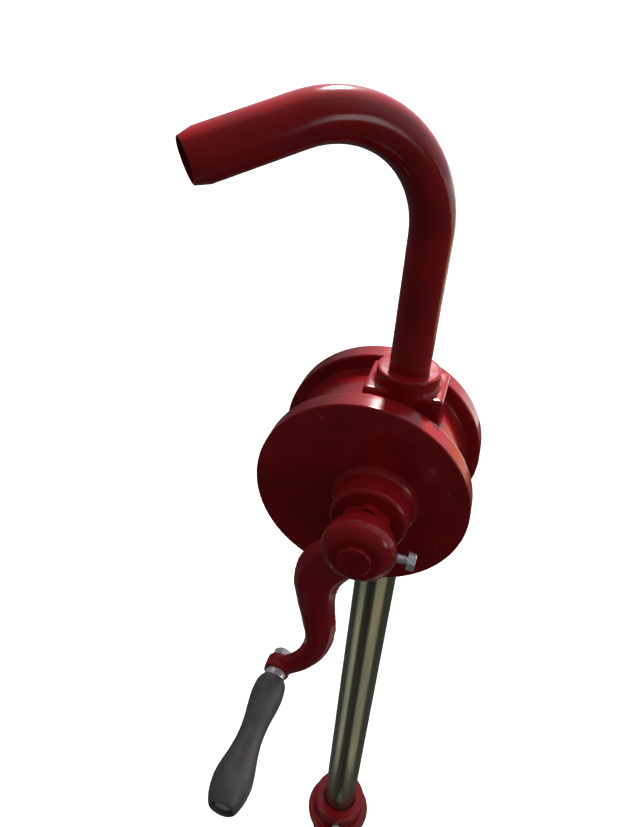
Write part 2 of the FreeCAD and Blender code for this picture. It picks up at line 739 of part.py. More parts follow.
def tube_seal_ring():
    """The rubber ring in the adaptor's groove, which seals against the tube."""
    bottom = SEAL_TOP - SEAL_LENGTH + RING_CLEARANCE
    outer = SEAL_RADIUS - RING_CLEARANCE
    return ring_z(outer, TUBE_RADIUS + SLIDING_CLEARANCE, bottom, SEAL_TOP - RING_CLEARANCE)


def bung_washer():
    """The flat washer between the adaptor's flange and the drum."""
    outer = BUNG_FLANGE_RADIUS - BUNG_WASHER_INSET
    return ring_z(outer, BUNG_UNDERCUT_RADIUS + BUNG_WASHER_INSET, 0, BUNG_WASHER_THICKNESS)


NODES = {
    "bung_adaptor": bung_adaptor,
    "bung_washer": bung_washer,
    "tube_seal_ring": tube_seal_ring,
    "tube_lock_screw": tube_lock_screw,
    "pump_body": pump_body,
    "front_cover": front_cover,
    "rear_cover": rear_cover,
    "front_gasket": lambda: gasket(-1),
    "rear_gasket": lambda: gasket(1),
    "front_cover_screws": lambda: cover_screws(-1),
    "rear_cover_screws": lambda: cover_screws(1),
    "front_bush": lambda: bush(-1),
    "rear_bush": lambda: bush(1),
    "shaft_packing": shaft_packing,
    "packing_gland": packing_gland,
    "suction_tube_outer": suction_tube_outer,
    "tube_end_gland": tube_end_gland,
    "gland_seal": gland_seal,
    "suction_tube_inner": suction_tube_inner,
    "inner_tube_stop": inner_tube_stop,
    "foot_strainer": foot_strainer,
    "discharge_spout": discharge_spout,
    "spout_seal": spout_seal,
    "drive_shaft": drive_shaft,
    "rotor": rotor,
    "rotor_key": rotor_key,
    "upper_vane": lambda: vane(1),
    "lower_vane": lambda: vane(-1),
    "vane_springs": vane_springs,
    "crank_arm": crank_arm,
    "crank_set_screw": crank_set_screw,
    "grip_bolt": grip_bolt,
    "grip_nut": grip_nut,
    "grip_collar": grip_collar,
    "grip_washer": grip_washer,
    "hand_grip": hand_grip,
}

os.makedirs("parts", exist_ok=True)
for name, make in NODES.items():
    shape = make()
    state = "valid" if shape.isValid() else "INVALID"
    shape.exportStep(f"parts/{name}.step")
    print(name, state, len(shape.Solids), round(shape.Volume / 1000, 2))
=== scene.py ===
# %% [markdown]
# # A hand oil pump
#
# The pump draws oil from a drum: a crank turns a slotted rotor, whose vanes push the oil up
# a suction tube and out of a goose-necked spout. The CAD model settles every size and joint.
# This notebook gives it its looks: cast iron under thick red gloss, plated steel, moulded
# plastic.

# %% Load the frame
import json
import math

import bpy
from mathutils import Matrix, Vector


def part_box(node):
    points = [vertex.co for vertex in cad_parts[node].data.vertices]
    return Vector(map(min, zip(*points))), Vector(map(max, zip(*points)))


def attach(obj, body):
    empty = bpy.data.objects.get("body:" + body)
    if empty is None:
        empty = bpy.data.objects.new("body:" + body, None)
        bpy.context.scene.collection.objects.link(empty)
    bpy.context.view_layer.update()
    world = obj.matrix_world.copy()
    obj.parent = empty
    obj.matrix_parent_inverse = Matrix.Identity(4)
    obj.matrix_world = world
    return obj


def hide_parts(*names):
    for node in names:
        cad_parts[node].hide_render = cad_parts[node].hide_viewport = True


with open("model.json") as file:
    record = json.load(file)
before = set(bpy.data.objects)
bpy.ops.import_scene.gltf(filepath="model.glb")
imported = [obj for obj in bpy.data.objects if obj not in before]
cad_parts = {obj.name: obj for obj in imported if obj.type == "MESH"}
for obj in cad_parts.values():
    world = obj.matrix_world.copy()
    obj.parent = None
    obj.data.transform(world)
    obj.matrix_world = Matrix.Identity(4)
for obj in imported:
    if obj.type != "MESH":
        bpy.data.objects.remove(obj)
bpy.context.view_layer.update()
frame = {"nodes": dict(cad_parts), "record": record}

bpy.ops.object.select_all(action="DESELECT")
MM = 0.001
UP = Vector((0, 0, 1))
FRONT = Vector((0, -1, 0))
BACK = Vector((0, 1, 0))
print("nodes in the frame:", len(frame["nodes"]))

# %% [markdown]
# ## Places that everything else hangs on
#
# The casing, the shaft and the grip each have their own axis. All three are read from the
# CAD nodes' boxes, so that a change of the model moves the looks with it.


# %% Find the axes
def middle(node):
    """The centre of a CAD node's box."""
    low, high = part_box(node)
    return (Vector(low) + Vector(high)) / 2


def reach(node, axis, end):
    """The lowest (0) or highest (1) coordinate of a CAD node along one axis."""
    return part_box(node)[end][axis]


def half_size(node, axis):
    """Half of a CAD node's size along one axis."""
    return (reach(node, axis, 1) - reach(node, axis, 0)) / 2


SHAFT_X = middle("drive_shaft").x
SHAFT_Z = middle("drive_shaft").z
CASING_X = middle("front_gasket").x
GRIP_X = middle("hand_grip").x
GRIP_Z = middle("hand_grip").z
COVER_RADIUS = half_size("rear_cover", 0)
print(f"shaft at {SHAFT_X:.4f} {SHAFT_Z:.4f}, grip at {GRIP_X:.4f} {GRIP_Z:.4f}")


def on_shaft(y):
    """The point of the shaft's axis at one Y."""
    return SHAFT_X, y, SHAFT_Z


def on_grip(y):
    """The point of the grip's axis at one Y."""
    return GRIP_X, y, GRIP_Z

# %% [markdown]
# ## A handful of workshop moves
#
# Most pieces of a pump come off a lathe, so the main helper draws half an outline by
# extruding one vertex from point to point, and spins it round the Z axis. `stand` then
# turns the finished piece to its place and applies that, which keeps the object itself at
# the origin. Modifiers are applied at once, so that what is measured is what is rendered.


# %% Helpers for selecting and finishing
WELD = 0.001 * MM
# Degrees from which an edge counts as sharp: on most pieces, castings and machine screws
SHARP = 35
CAST_SHARP = 40
SCREW_SHARP = 30


def pick(obj):
    """Makes one object the only selected and the active one."""
    bpy.ops.object.select_all(action="DESELECT")
    obj.select_set(True)
    bpy.context.view_layer.objects.active = obj


def add(primitive, name, **settings):
    """Adds one of Blender's primitives, on its own and under a name."""
    bpy.ops.object.select_all(action="DESELECT")
    primitive(**settings)
    obj = bpy.context.object
    obj.name = name
    return obj


def edit(obj, action="SELECT"):
    """Opens a piece in edit mode, with everything selected or nothing."""
    pick(obj)
    bpy.ops.object.mode_set(mode="EDIT")
    bpy.ops.mesh.select_all(action=action)


def apply_modifier(obj, kind, **settings):
    """Adds a modifier with its settings and applies it."""
    pick(obj)
    modifier = obj.modifiers.new(kind.title(), kind)
    for key, value in settings.items():
        setattr(modifier, key, value)
    bpy.ops.object.modifier_apply(modifier=modifier.name)
    return obj


def mend(obj, turn=True):
    """Welds doubled vertices, and turns every face outwards unless told not to."""
    edit(obj)
    bpy.ops.mesh.remove_doubles(threshold=WELD)
    if turn:
        bpy.ops.mesh.normals_make_consistent(inside=False)
    bpy.ops.object.mode_set(mode="OBJECT")
    return obj


def close_ends(obj):
    """Fills the open ends of a bar, and mends it."""
    bpy.ops.object.mode_set(mode="OBJECT")
    edit(obj, "DESELECT")
    bpy.ops.mesh.select_mode(type="EDGE")
    bpy.ops.mesh.select_non_manifold()
    bpy.ops.mesh.fill_holes(sides=0)
    bpy.ops.mesh.select_mode(type="VERT")
    bpy.ops.object.mode_set(mode="OBJECT")
    return mend(obj)


def round_edges(obj, width, segments=3, angle=SHARP):
    """Rounds every edge sharper than an angle, inner corners too."""
    return apply_modifier(
        obj, "BEVEL", width=width, segments=segments, limit_method="ANGLE",
        angle_limit=math.radians(angle), harden_normals=False,
    )


def smooth(obj, angle=SHARP):
    """Shades a piece smooth, but for edges sharper than an angle."""
    pick(obj)
    bpy.ops.object.shade_smooth_by_angle(angle=math.radians(angle))
    return obj


def stand(obj, base, way=UP):
    """Turns a piece made on the Z axis to point along way and moves it to base."""
    pick(obj)
    obj.rotation_euler = way.to_track_quat("Z", "Y").to_euler()
    obj.location = base
    bpy.ops.object.transform_apply(location=True, rotation=True, scale=True)
    return obj


def cut(obj, tool, operation="DIFFERENCE"):
    """Cuts a piece with another, which is then gone."""
    apply_modifier(obj, "BOOLEAN", operation=operation, solver="EXACT", object=tool)
    bpy.data.objects.remove(tool)
    return obj


def join(*objs):
    """Joins pieces into the first of them."""
    pick(objs[0])
    for obj in objs[1:]:
        obj.select_set(True)
    bpy.ops.object.join()
    return objs[0]


# %% Helpers for turned pieces
# Steps of a turn, for the casing's discs, for pipes and necks, and for small screws
DISC_STEPS = 192
PIPE_STEPS = 128
BORE_STEPS = 48


def lathe(name, outline, steps=96, closed=False):
    """Spins (radius, height) points round the Z axis. A closed outline is a ring's."""
    obj = add(bpy.ops.mesh.primitive_plane_add, name, size=MM)
    edit(obj)
    bpy.ops.mesh.merge(type="CENTER")
    here = Vector((outline[0][0], 0, outline[0][1]))
    bpy.ops.transform.translate(value=here)
    for radius, height in outline[1:]:
        step = Vector((radius, 0, height)) - here
        bpy.ops.mesh.extrude_vertices_move(TRANSFORM_OT_translate={"value": step})
        here += step
    bpy.ops.mesh.select_all(action="SELECT")
    if closed:
        bpy.ops.mesh.edge_face_add()
        bpy.ops.mesh.delete(type="ONLY_FACE")
        bpy.ops.mesh.select_all(action="SELECT")
    bpy.ops.mesh.spin(steps=steps, angle=2 * math.pi, center=(0, 0, 0), axis=UP)
    bpy.ops.object.mode_set(mode="OBJECT")
    return mend(obj)


def rod(name, radius, bottom, top, steps=96):
    """A plain round bar."""
    return lathe(name, [(0, bottom), (radius, bottom), (radius, top), (0, top)], steps)


def drill(obj, radius, start, end, base=(0, 0, 0), way=UP, steps=96):
    """Bores a round hole along way, between two distances from base."""
    return cut(obj, stand(rod("drill", radius, start, end, steps), base, way))


# %% Helpers for hexagons and screw threads
HEX_BEVEL = 0.8 * MM
HEX_ROUND = 0.25 * MM
# A thread's depth and half its ridge's width, as shares of its pitch
THREAD_DEPTH = 0.6
THREAD_HALF = 0.42


def hexagon(name, flats, length):
    """A hexagonal head: a six-sided cylinder, its outer corners turned off by a cone."""
    corner = flats / math.sqrt(3)
    head = add(
        bpy.ops.mesh.primitive_cylinder_add, name,
        vertices=6, radius=corner, depth=length, location=(0, 0, length / 2),
    )
    bpy.ops.object.transform_apply(location=True)
    inside = corner - HEX_BEVEL
    turned = [
        (0, -MM), (inside + length, -MM), (inside + length, 0), (inside, length), (0, length),
    ]
    cut(head, lathe("turning", turned), "INTERSECT")
    return round_edges(head, HEX_ROUND, 2, 25)


def thread(name, radius, pitch, bottom, top, steps=36):
    """A screw thread's ridge, wound round a bar of the core's radius by the Screw modifier."""
    depth = THREAD_DEPTH * pitch
    half = THREAD_HALF * pitch
    ridge = add(
        bpy.ops.mesh.primitive_circle_add, name,
        vertices=4, radius=half, rotation=(math.pi / 2, 0, 0),
    )
    bpy.ops.object.transform_apply(rotation=True)
    ridge.scale = (depth / half, 1, 1)
    ridge.location = (radius - depth, 0, bottom + half)
    bpy.ops.object.transform_apply(location=True, rotation=True, scale=True)
    turns = math.floor((top - bottom - 2 * half) / pitch)
    apply_modifier(
        ridge, "SCREW", axis="Z", angle=2 * math.pi, screw_offset=pitch,
        iterations=max(turns, 1), steps=steps, render_steps=steps, use_merge_vertices=False,
    )
    return close_ends(ridge)

# %% [markdown]
# ## Paint, plating and the rest
#
# A finish needs something to break its evenness at three scales: broad patches, fine grain
# and what happens at edges. Plating and plastic also have a seam from how they were made.
# Each of the four is a node group, so that every material can place it with its own
# numbers. Shaders stay in the materials, and a number that is the same all over a piece is
# typed on the shader's own socket.


# %% Helpers for node groups
def new_group(name, inputs, outputs):
    """A shader node group, what is given to it, and what it gives out."""
    group = bpy.data.node_groups.new(name, "ShaderNodeTree")
    for label, kind, value in inputs:
        socket = group.interface.new_socket(name=label, in_out="INPUT", socket_type=kind)
        socket.default_value = value
    for label, kind in outputs:
        group.interface.new_socket(name=label, in_out="OUTPUT", socket_type=kind)
    given = group.nodes.new("NodeGroupInput").outputs
    out = group.nodes.new("NodeGroupOutput").inputs
    return group, given, out


def make_node(tree, kind, values, **settings):
    """A node's outputs. Its inputs, by name or number, are linked to sockets or typed in."""
    node = tree.nodes.new(kind)
    for key, value in settings.items():
        setattr(node, key, value)
    for label, value in values.items():
        if isinstance(value, bpy.types.NodeSocket):
            tree.links.new(value, node.inputs[label])
        else:
            node.inputs[label].default_value = value
    return node.outputs


def math_node(tree, operation, *values, clamp=False):
    """A Math node's result."""
    settings = {"operation": operation, "use_clamp": clamp}
    return make_node(tree, "ShaderNodeMath", dict(enumerate(values)), **settings)[0]


def dot_product(tree, first, second):
    """The dot product of two vectors."""
    inputs = {0: first, 1: second}
    return make_node(tree, "ShaderNodeVectorMath", inputs, operation="DOT_PRODUCT")["Value"]


def mix_node(tree, kind, factor, first, second):
    """A Mix node's result, of kind FLOAT or RGBA."""
    inputs = {"Factor": factor, "A": first, "B": second}
    return make_node(tree, "ShaderNodeMix", inputs, data_type=kind)["Result"]


def noise(tree, vector, scale, detail):
    """A noise texture's factor."""
    inputs = {"Vector": vector, "Scale": scale, "Detail": detail}
    return make_node(tree, "ShaderNodeTexNoise", inputs)["Fac"]


def coordinates(tree, kind="Object"):
    """Texture coordinates of a kind."""
    return make_node(tree, "ShaderNodeTexCoord", {})[kind]


# %% Group: broad patches in colour and gloss
PATCH_CONTRAST = (2.6, -0.8)


def make_patches():
    """Two colours in soft patches, and a roughness that wanders with them."""
    group, given, out = new_group(
        "Patches",
        [
            ("Colour", "NodeSocketColor", (0.5, 0.5, 0.5, 1)),
            ("Second colour", "NodeSocketColor", (0.4, 0.4, 0.4, 1)),
            ("Roughness", "NodeSocketFloat", 0.4),
            ("Wander", "NodeSocketFloat", 0.1),
            ("Scale", "NodeSocketFloat", 60.0),
            ("Stretch", "NodeSocketVector", (1, 1, 1)),
        ],
        [("Colour", "NodeSocketColor"), ("Roughness", "NodeSocketFloat")],
    )
    stretched = {0: coordinates(group), 1: given["Stretch"]}
    drawn = make_node(group, "ShaderNodeVectorMath", stretched, operation="MULTIPLY")
    broad = noise(group, drawn["Vector"], given["Scale"], 4.0)
    sharper = math_node(group, "MULTIPLY_ADD", broad, *PATCH_CONTRAST, clamp=True)
    colours = given["Colour"], given["Second colour"]
    group.links.new(mix_node(group, "RGBA", sharper, *colours), out["Colour"])
    swing = math_node(group, "SUBTRACT", sharper, 0.5)
    swing = math_node(group, "MULTIPLY", swing, given["Wander"])
    rough = math_node(group, "ADD", swing, given["Roughness"], clamp=True)
    group.links.new(rough, out["Roughness"])
    return group


# %% Group: grain that stands out of the surface
def make_grain():
    """A bump of two sizes of grain at once, as sand leaves on a casting."""
    group, given, out = new_group(
        "Grain",
        [
            ("Coarse scale", "NodeSocketFloat", 200.0),
            ("Fine scale", "NodeSocketFloat", 1200.0),
            ("Fine share", "NodeSocketFloat", 0.3),
        ],
        [("Height", "NodeSocketFloat")],
    )
    place = coordinates(group)
    coarse = noise(group, place, given["Coarse scale"], 2.0)
    fine = noise(group, place, given["Fine scale"], 3.0)
    fine = math_node(group, "MULTIPLY", fine, given["Fine share"])
    group.links.new(math_node(group, "ADD", coarse, fine), out["Height"])
    return group


# %% Group: edges, where paint runs thin, plating rubs bright and the red paint gets a painted highlight
EDGE_GAIN = 8.0
EDGE_BREAK_SCALE = 400.0
EDGE_BREAK_CONTRAST = (2.0, -0.4)


def make_edges():
    """A mask that is 1 along sharp edges, broken up by noise."""
    group, given, out = new_group(
        "Edges",
        [("Width", "NodeSocketFloat", 0.001), ("Strength", "NodeSocketFloat", 1.0)],
        [("Mask", "NodeSocketFloat")],
    )
    width = {"Radius": given["Width"]}
    rounded = make_node(group, "ShaderNodeBevel", width, samples=4)[0]
    flat = make_node(group, "ShaderNodeNewGeometry", {})["Normal"]
    same = dot_product(group, rounded, flat)
    bend = math_node(group, "SUBTRACT", 1.0, same, clamp=True)
    bend = math_node(group, "MULTIPLY", bend, EDGE_GAIN, clamp=True)
    broken = noise(group, coordinates(group), EDGE_BREAK_SCALE, 3.0)
    broken = math_node(group, "MULTIPLY_ADD", broken, *EDGE_BREAK_CONTRAST, clamp=True)
    mask = math_node(group, "MULTIPLY", bend, broken)
    mask = math_node(group, "MULTIPLY", mask, given["Strength"], clamp=True)
    group.links.new(mask, out["Mask"])
    return group


# %% Group: a seam that runs along a piece
def make_seam():
    """A low ridge where an upright plane across X cuts a piece, on one side of it."""
    group, given, out = new_group(
        "Seam",
        [
            ("Place", "NodeSocketFloat", 0.0),
            ("Side", "NodeSocketVector", (0, 1, 0)),
            ("Width", "NodeSocketFloat", 0.001),
            ("Height", "NodeSocketFloat", 1.0),
        ],
        [("Height", "NodeSocketFloat")],
    )
    place = coordinates(group)
    across = make_node(group, "ShaderNodeSeparateXYZ", {0: place})["X"]
    away = math_node(group, "SUBTRACT", across, given["Place"])
    away = math_node(group, "ABSOLUTE", away)
    away = math_node(group, "DIVIDE", away, given["Width"])
    ridge = math_node(group, "SUBTRACT", 1.0, away, clamp=True)
    facing = dot_product(group, place, given["Side"])
    there = math_node(group, "GREATER_THAN", facing, 0.0)
    ridge = math_node(group, "MULTIPLY", ridge, there)
    ridge = math_node(group, "MULTIPLY", ridge, given["Height"])
    group.links.new(ridge, out["Height"])
    return group


PATCHES = make_patches()
GRAIN = make_grain()
EDGES = make_edges()
SEAM = make_seam()
print("node groups:", [g.name for g in (PATCHES, GRAIN, EDGES, SEAM)])

# %% [markdown]
# ## One recipe, ten finishes
#
# Every finish here is patches, grain and edges in front of one Principled shader. What
# differs is the numbers: gloss paint has long soft ripples and lighter edges, partly thin
# paint and partly a painted highlight, plating has patches drawn out along the tube, and
# rubber has fine grain and no gloss.


# %% Helper for materials
def finish(name, colour, second, edge, metallic, roughness, wander, scale, bump, grain,
           stretch=(1, 1, 1), edge_strength=0.6, edge_width=0.8 * MM, specular=0.5, seam=None):
    """A material of patches, grain and edges. Bump is the grain's height in metres, and a
    seam is given by its X, its side, its width and its height in bumps."""
    material = bpy.data.materials.new(name)
    material.use_nodes = True
    tree = material.node_tree
    shader = tree.nodes["Principled BSDF"].inputs
    shader["Metallic"].default_value = metallic
    shader["Specular IOR Level"].default_value = specular
    patches = make_node(tree, "ShaderNodeGroup", {
        "Colour": (*colour, 1), "Second colour": (*second, 1), "Roughness": roughness,
        "Wander": wander, "Scale": scale, "Stretch": stretch,
    }, node_tree=PATCHES)
    edges = {"Width": edge_width, "Strength": edge_strength}
    edges = make_node(tree, "ShaderNodeGroup", edges, node_tree=EDGES)
    # Edges take their own colour: rubbed plating, thin paint, and on the red paint also a painted
    # highlight along every edge.
    edge_wear_and_sheen = mix_node(tree, "RGBA", edges["Mask"], patches["Colour"], (*edge, 1))
    tree.links.new(edge_wear_and_sheen, shader["Base Color"])
    tree.links.new(patches["Roughness"], shader["Roughness"])
    grain = dict(zip(("Coarse scale", "Fine scale", "Fine share"), grain))
    height = make_node(tree, "ShaderNodeGroup", grain, node_tree=GRAIN)["Height"]
    if seam:
        seam = dict(zip(("Place", "Side", "Width", "Height"), seam))
        ridge = make_node(tree, "ShaderNodeGroup", seam, node_tree=SEAM)["Height"]
        height = math_node(tree, "ADD", height, ridge)
    relief = make_node(tree, "ShaderNodeBump", {"Distance": bump, "Height": height})
    tree.links.new(relief["Normal"], shader["Normal"])
    return material


# %% Mix the finishes
FINISHES = {
    # Red gloss: its lighter edge colour is partly thin paint and partly a painted highlight.
    "red_paint": finish(
        "red_paint", (0.215, 0.0060, 0.0080), (0.150, 0.0048, 0.0064), (0.34, 0.025, 0.022),
        0.0, 0.17, 0.10, 45, 0.10 * MM, (110, 700, 0.12), specular=0.24, edge_strength=0.35,
    ),
    "yellow_zinc": finish(
        "yellow_zinc", (0.225, 0.215, 0.140), (0.130, 0.132, 0.090), (0.42, 0.40, 0.30),
        0.85, 0.22, 0.12, 150, 0.02 * MM, (900, 2500, 0.5), stretch=(1, 1, 0.06),
        seam=(0.0, BACK, 1.2 * MM, 4.0),
    ),
    "white_zinc": finish(
        "white_zinc", (0.76, 0.78, 0.80), (0.58, 0.60, 0.63), (0.86, 0.87, 0.89),
        0.7, 0.28, 0.2, 220, 0.02 * MM, (900, 2600, 0.5),
    ),
    "machined_steel": finish(
        "machined_steel", (0.46, 0.46, 0.47), (0.36, 0.36, 0.37), (0.62, 0.62, 0.63),
        1.0, 0.3, 0.15, 160, 0.01 * MM, (700, 3000, 0.6), stretch=(1, 8, 1),
    ),
    "cast_iron": finish(
        "cast_iron", (0.16, 0.16, 0.165), (0.11, 0.11, 0.11), (0.30, 0.30, 0.31),
        0.8, 0.55, 0.2, 120, 0.15 * MM, (400, 1600, 0.6),
    ),
    "bronze": finish(
        "bronze", (0.50, 0.30, 0.12), (0.36, 0.21, 0.08), (0.65, 0.45, 0.22),
        1.0, 0.35, 0.2, 120, 0.02 * MM, (700, 2400, 0.5),
    ),
    "black_rubber": finish(
        "black_rubber", (0.018, 0.018, 0.018), (0.026, 0.025, 0.024), (0.05, 0.05, 0.05),
        0.0, 0.75, 0.15, 150, 0.03 * MM, (600, 2400, 0.8), specular=0.3,
    ),
    "gasket_paper": finish(
        "gasket_paper", (0.20, 0.15, 0.09), (0.13, 0.10, 0.06), (0.25, 0.2, 0.13),
        0.0, 0.8, 0.1, 200, 0.05 * MM, (800, 2600, 0.8), specular=0.2,
    ),
    "packing_cord": finish(
        "packing_cord", (0.06, 0.055, 0.05), (0.03, 0.028, 0.025), (0.09, 0.085, 0.08),
        0.0, 0.85, 0.1, 500, 0.2 * MM, (1500, 4000, 0.5), specular=0.2,
    ),
    "black_plastic": finish(
        "black_plastic", (0.066, 0.066, 0.068), (0.050, 0.050, 0.052), (0.11, 0.11, 0.113),
        0.0, 0.42, 0.12, 130, 0.05 * MM, (500, 2000, 0.7), specular=0.4,
        seam=(GRIP_X, FRONT, 0.5 * MM, 2.5),
    ),
}
SLOTS = {part["node"]: part["material_slot"] for part in frame["record"]["subparts"]}
for name, node in frame["nodes"].items():
    node.data.materials.clear()
    node.data.materials.append(FINISHES[SLOTS[name]])
print("finishes:", len(FINISHES), "placed on", len(frame["nodes"]), "nodes")

# %% [markdown]
# ## Handing a piece to the frame
#
# Each new piece stands for one CAD node: it takes that node's finish and rides on the body
# that the node belongs to.

# %% Helper that swaps a CAD node for its dressed piece
BODY_OF = {n: b for b, names in frame["record"]["behaviour"]["bodies"].items() for n in names}
# Faces from which a piece is smooth enough without weighted normals
MANY_FACES = 40000


def dress(obj, node, angle=SHARP):
    """Shades a piece, names it after its node, and lets it stand for that node."""
    smooth(obj, angle)
    if len(obj.data.polygons) < MANY_FACES:
        apply_modifier(obj, "WEIGHTED_NORMAL", keep_sharp=True)
    obj.name = f"{node}_dressed"
    obj.data.name = obj.name
    if not obj.data.materials:
        obj.data.materials.append(FINISHES[SLOTS[node]])
    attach(obj, BODY_OF[node])
    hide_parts(node)
    size = obj.dimensions / MM
    print(f"{node}: {len(obj.data.polygons)} faces, {size.x:.1f} x {size.y:.1f} x {size.z:.1f} mm")
    return obj

# %% [markdown]
# ## The casing's covers
#
# A cover is a turned plate with a bearing boss that stands beside its centre. Plate and
# boss are separate turnings, welded by a Boolean union. The boss's outline has the fillet
# at its foot and the round at its end that a casting needs, each a quarter turn.

# %% Covers: plate, bosses and screw holes
FACE_Y = reach("rear_cover_screws", 1, 1)
PLATE_THICKNESS = FACE_Y - reach("rear_cover", 1, 0)
RIM_ROUND = 1.4 * MM
BOSS_ROUND = 3.0 * MM
BOSS_FILLET = 5.0 * MM
BOSS_SUNK = 0.05 * MM
SCREW_CIRCLE = 67.5 * MM
SCREW_RADIUS = 3.0 * MM
SCREW_HEAD = 5.6 * MM
SCREW_SLOPE = 3.0 * MM
SCREW_SUNK = 0.05 * MM
SCREW_ROOM = 0.02 * MM
SCREW_STEPS = 40
SCREWS = 8


def screw_places():
    """X and Z of a cover's screws."""
    turns = [2 * math.pi * (i + 0.5) / SCREWS for i in range(SCREWS)]
    return [
        (CASING_X + SCREW_CIRCLE * math.sin(t), SHAFT_Z + SCREW_CIRCLE * math.cos(t))
        for t in turns
    ]


def quarter(centre, radius, start, steps=8):
    """Points of a quarter turn round a centre, from an angle in degrees, anticlockwise."""
    turns = [math.radians(start + 90 * i / steps) for i in range(steps + 1)]
    return [(centre[0] + radius * math.cos(t), centre[1] + radius * math.sin(t)) for t in turns]


def boss(name, radius, length):
    """A round boss that flares into the plate under it; height 0 is the plate's face."""
    low = -PLATE_THICKNESS / 2
    foot = (radius + BOSS_FILLET, BOSS_FILLET - BOSS_SUNK)
    flare = quarter(foot, BOSS_FILLET, 180)[::-1]
    shoulder = quarter((radius - BOSS_ROUND, length - BOSS_ROUND), BOSS_ROUND, 0)
    outline = [(0, low), (radius + BOSS_FILLET, low)] + flare + shoulder + [(0, length)]
    return lathe(name, outline, PIPE_STEPS)


def countersink():
    """The room of one cover screw, from its head down through the plate."""
    shank = SCREW_RADIUS + SCREW_ROOM
    head = SCREW_HEAD + SCREW_ROOM
    return lathe("countersink", [
        (0, -2 * PLATE_THICKNESS), (shank, -2 * PLATE_THICKNESS), (shank, -SCREW_SLOPE),
        (head, 0), (head, MM), (0, MM),
    ], SCREW_STEPS)


def cover(name, way, bearing):
    """A cover plate with its bearing boss and screw holes, facing way."""
    rim = quarter((COVER_RADIUS - RIM_ROUND, -RIM_ROUND), RIM_ROUND, 0)
    outline = [(0, -PLATE_THICKNESS), (COVER_RADIUS, -PLATE_THICKNESS)] + rim + [(0, 0)]
    plate = lathe(name, outline, DISC_STEPS)
    stand(plate, (CASING_X, way.y * FACE_Y, SHAFT_Z), way)
    part = boss("boss", *bearing)
    cut(plate, stand(part, (SHAFT_X, way.y * FACE_Y, SHAFT_Z), way), "UNION")
    for x, z in screw_places():
        cut(plate, stand(countersink(), (x, way.y * FACE_Y, z), way))
    return plate


# %% Front cover, with its stuffing box bored out
FRONT_BOSS = (26.5 * MM, 21.0 * MM)
REAR_BOSS = (24.0 * MM, 18.0 * MM)
BUSH_RADIUS = half_size("front_bush", 0)
BOX_RADIUS = half_size("shaft_packing", 0)
BOX_DEPTH = 20.0 * MM
REAR_BORE = PLATE_THICKNESS + 10.0 * MM
front = cover("front_cover", FRONT, FRONT_BOSS)
drill(front, BUSH_RADIUS, -MM, 2 * PLATE_THICKNESS, on_shaft(reach("front_cover", 1, 1)), FRONT)
drill(front, BOX_RADIUS, 0, BOX_DEPTH, on_shaft(reach("shaft_packing", 1, 1)), FRONT)
dress(front, "front_cover")

# %% Rear cover, closed but for the bush's room
rear = cover("rear_cover", BACK, REAR_BOSS)
drill(rear, BUSH_RADIUS, -MM, REAR_BORE, on_shaft(reach("rear_cover", 1, 0)), BACK)
dress(rear, "rear_cover")

# %% [markdown]
# ## Cover screws
#
# The screws are countersunk, flush with the cover and painted over with it, so all that
# shows is a faint ring and a paint-filled slot. One screw is modelled and copied.

# %% Cover screws
SLOT_WIDTH = 1.0 * MM
SLOT_DEPTH = 0.3 * MM
SLOT_TURN = 0.9
SCREW_END = -PLATE_THICKNESS - 7.0 * MM
SCREW_EDGE = 0.1 * MM


def cover_screw():
    """One slotted countersunk screw, pointing down the Z axis from its head."""
    screw = lathe("cover_screw", [
        (0, SCREW_END), (SCREW_RADIUS, SCREW_END), (SCREW_RADIUS, -SCREW_SLOPE),
        (SCREW_HEAD - SCREW_EDGE, -SCREW_SUNK), (0, -SCREW_SUNK),
    ], SCREW_STEPS)
    size = (3 * SCREW_HEAD, SLOT_WIDTH, SLOT_DEPTH)
    slot = add(bpy.ops.mesh.primitive_cube_add, "slot", size=1, scale=size)
    bpy.ops.object.transform_apply(scale=True)
    cut(screw, slot)
    return round_edges(screw, SCREW_EDGE, 2)


for side, node in ((FRONT, "front_cover_screws"), (BACK, "rear_cover_screws")):
    pattern = cover_screw()
    copies = []
    for i, (x, z) in enumerate(screw_places()):
        copy = pattern.copy()
        copy.data = pattern.data.copy()
        bpy.context.collection.objects.link(copy)
        pick(copy)
        copy.rotation_euler.z = SLOT_TURN * i
        bpy.ops.object.transform_apply(rotation=True)
        copies.append(stand(copy, (x, side.y * FACE_Y, z), side))
    bpy.data.objects.remove(pattern)
    dress(join(*copies), node)

# %% [markdown]
# ## The body casting
#
# Sand castings have no sharp inner corners. The barrel, flanges, pads and necks are plain
# turnings and blocks that overlap. A voxel remesh welds them into one skin, and smoothing
# melts the seams into fillets. What is left for the machine shop, such as the flange
# faces, the chamber and the sockets, is cut afterwards, so it stays crisp.

# %% Body casting: rough shapes
BODY_HALF = reach("pump_body", 1, 1)
FLANGE = 7.5 * MM
BARREL_RADIUS = 64.0 * MM
SPARE = 1.5 * MM
VOXEL = 0.95 * MM
PAD = (53.0 * MM, 39.0 * MM)
PAD_CORNER = 2.0 * MM
NECK_RADIUS = 21.3 * MM
NECK_END = reach("pump_body", 2, 1) - SHAFT_Z
SLAB = 10.0 * MM

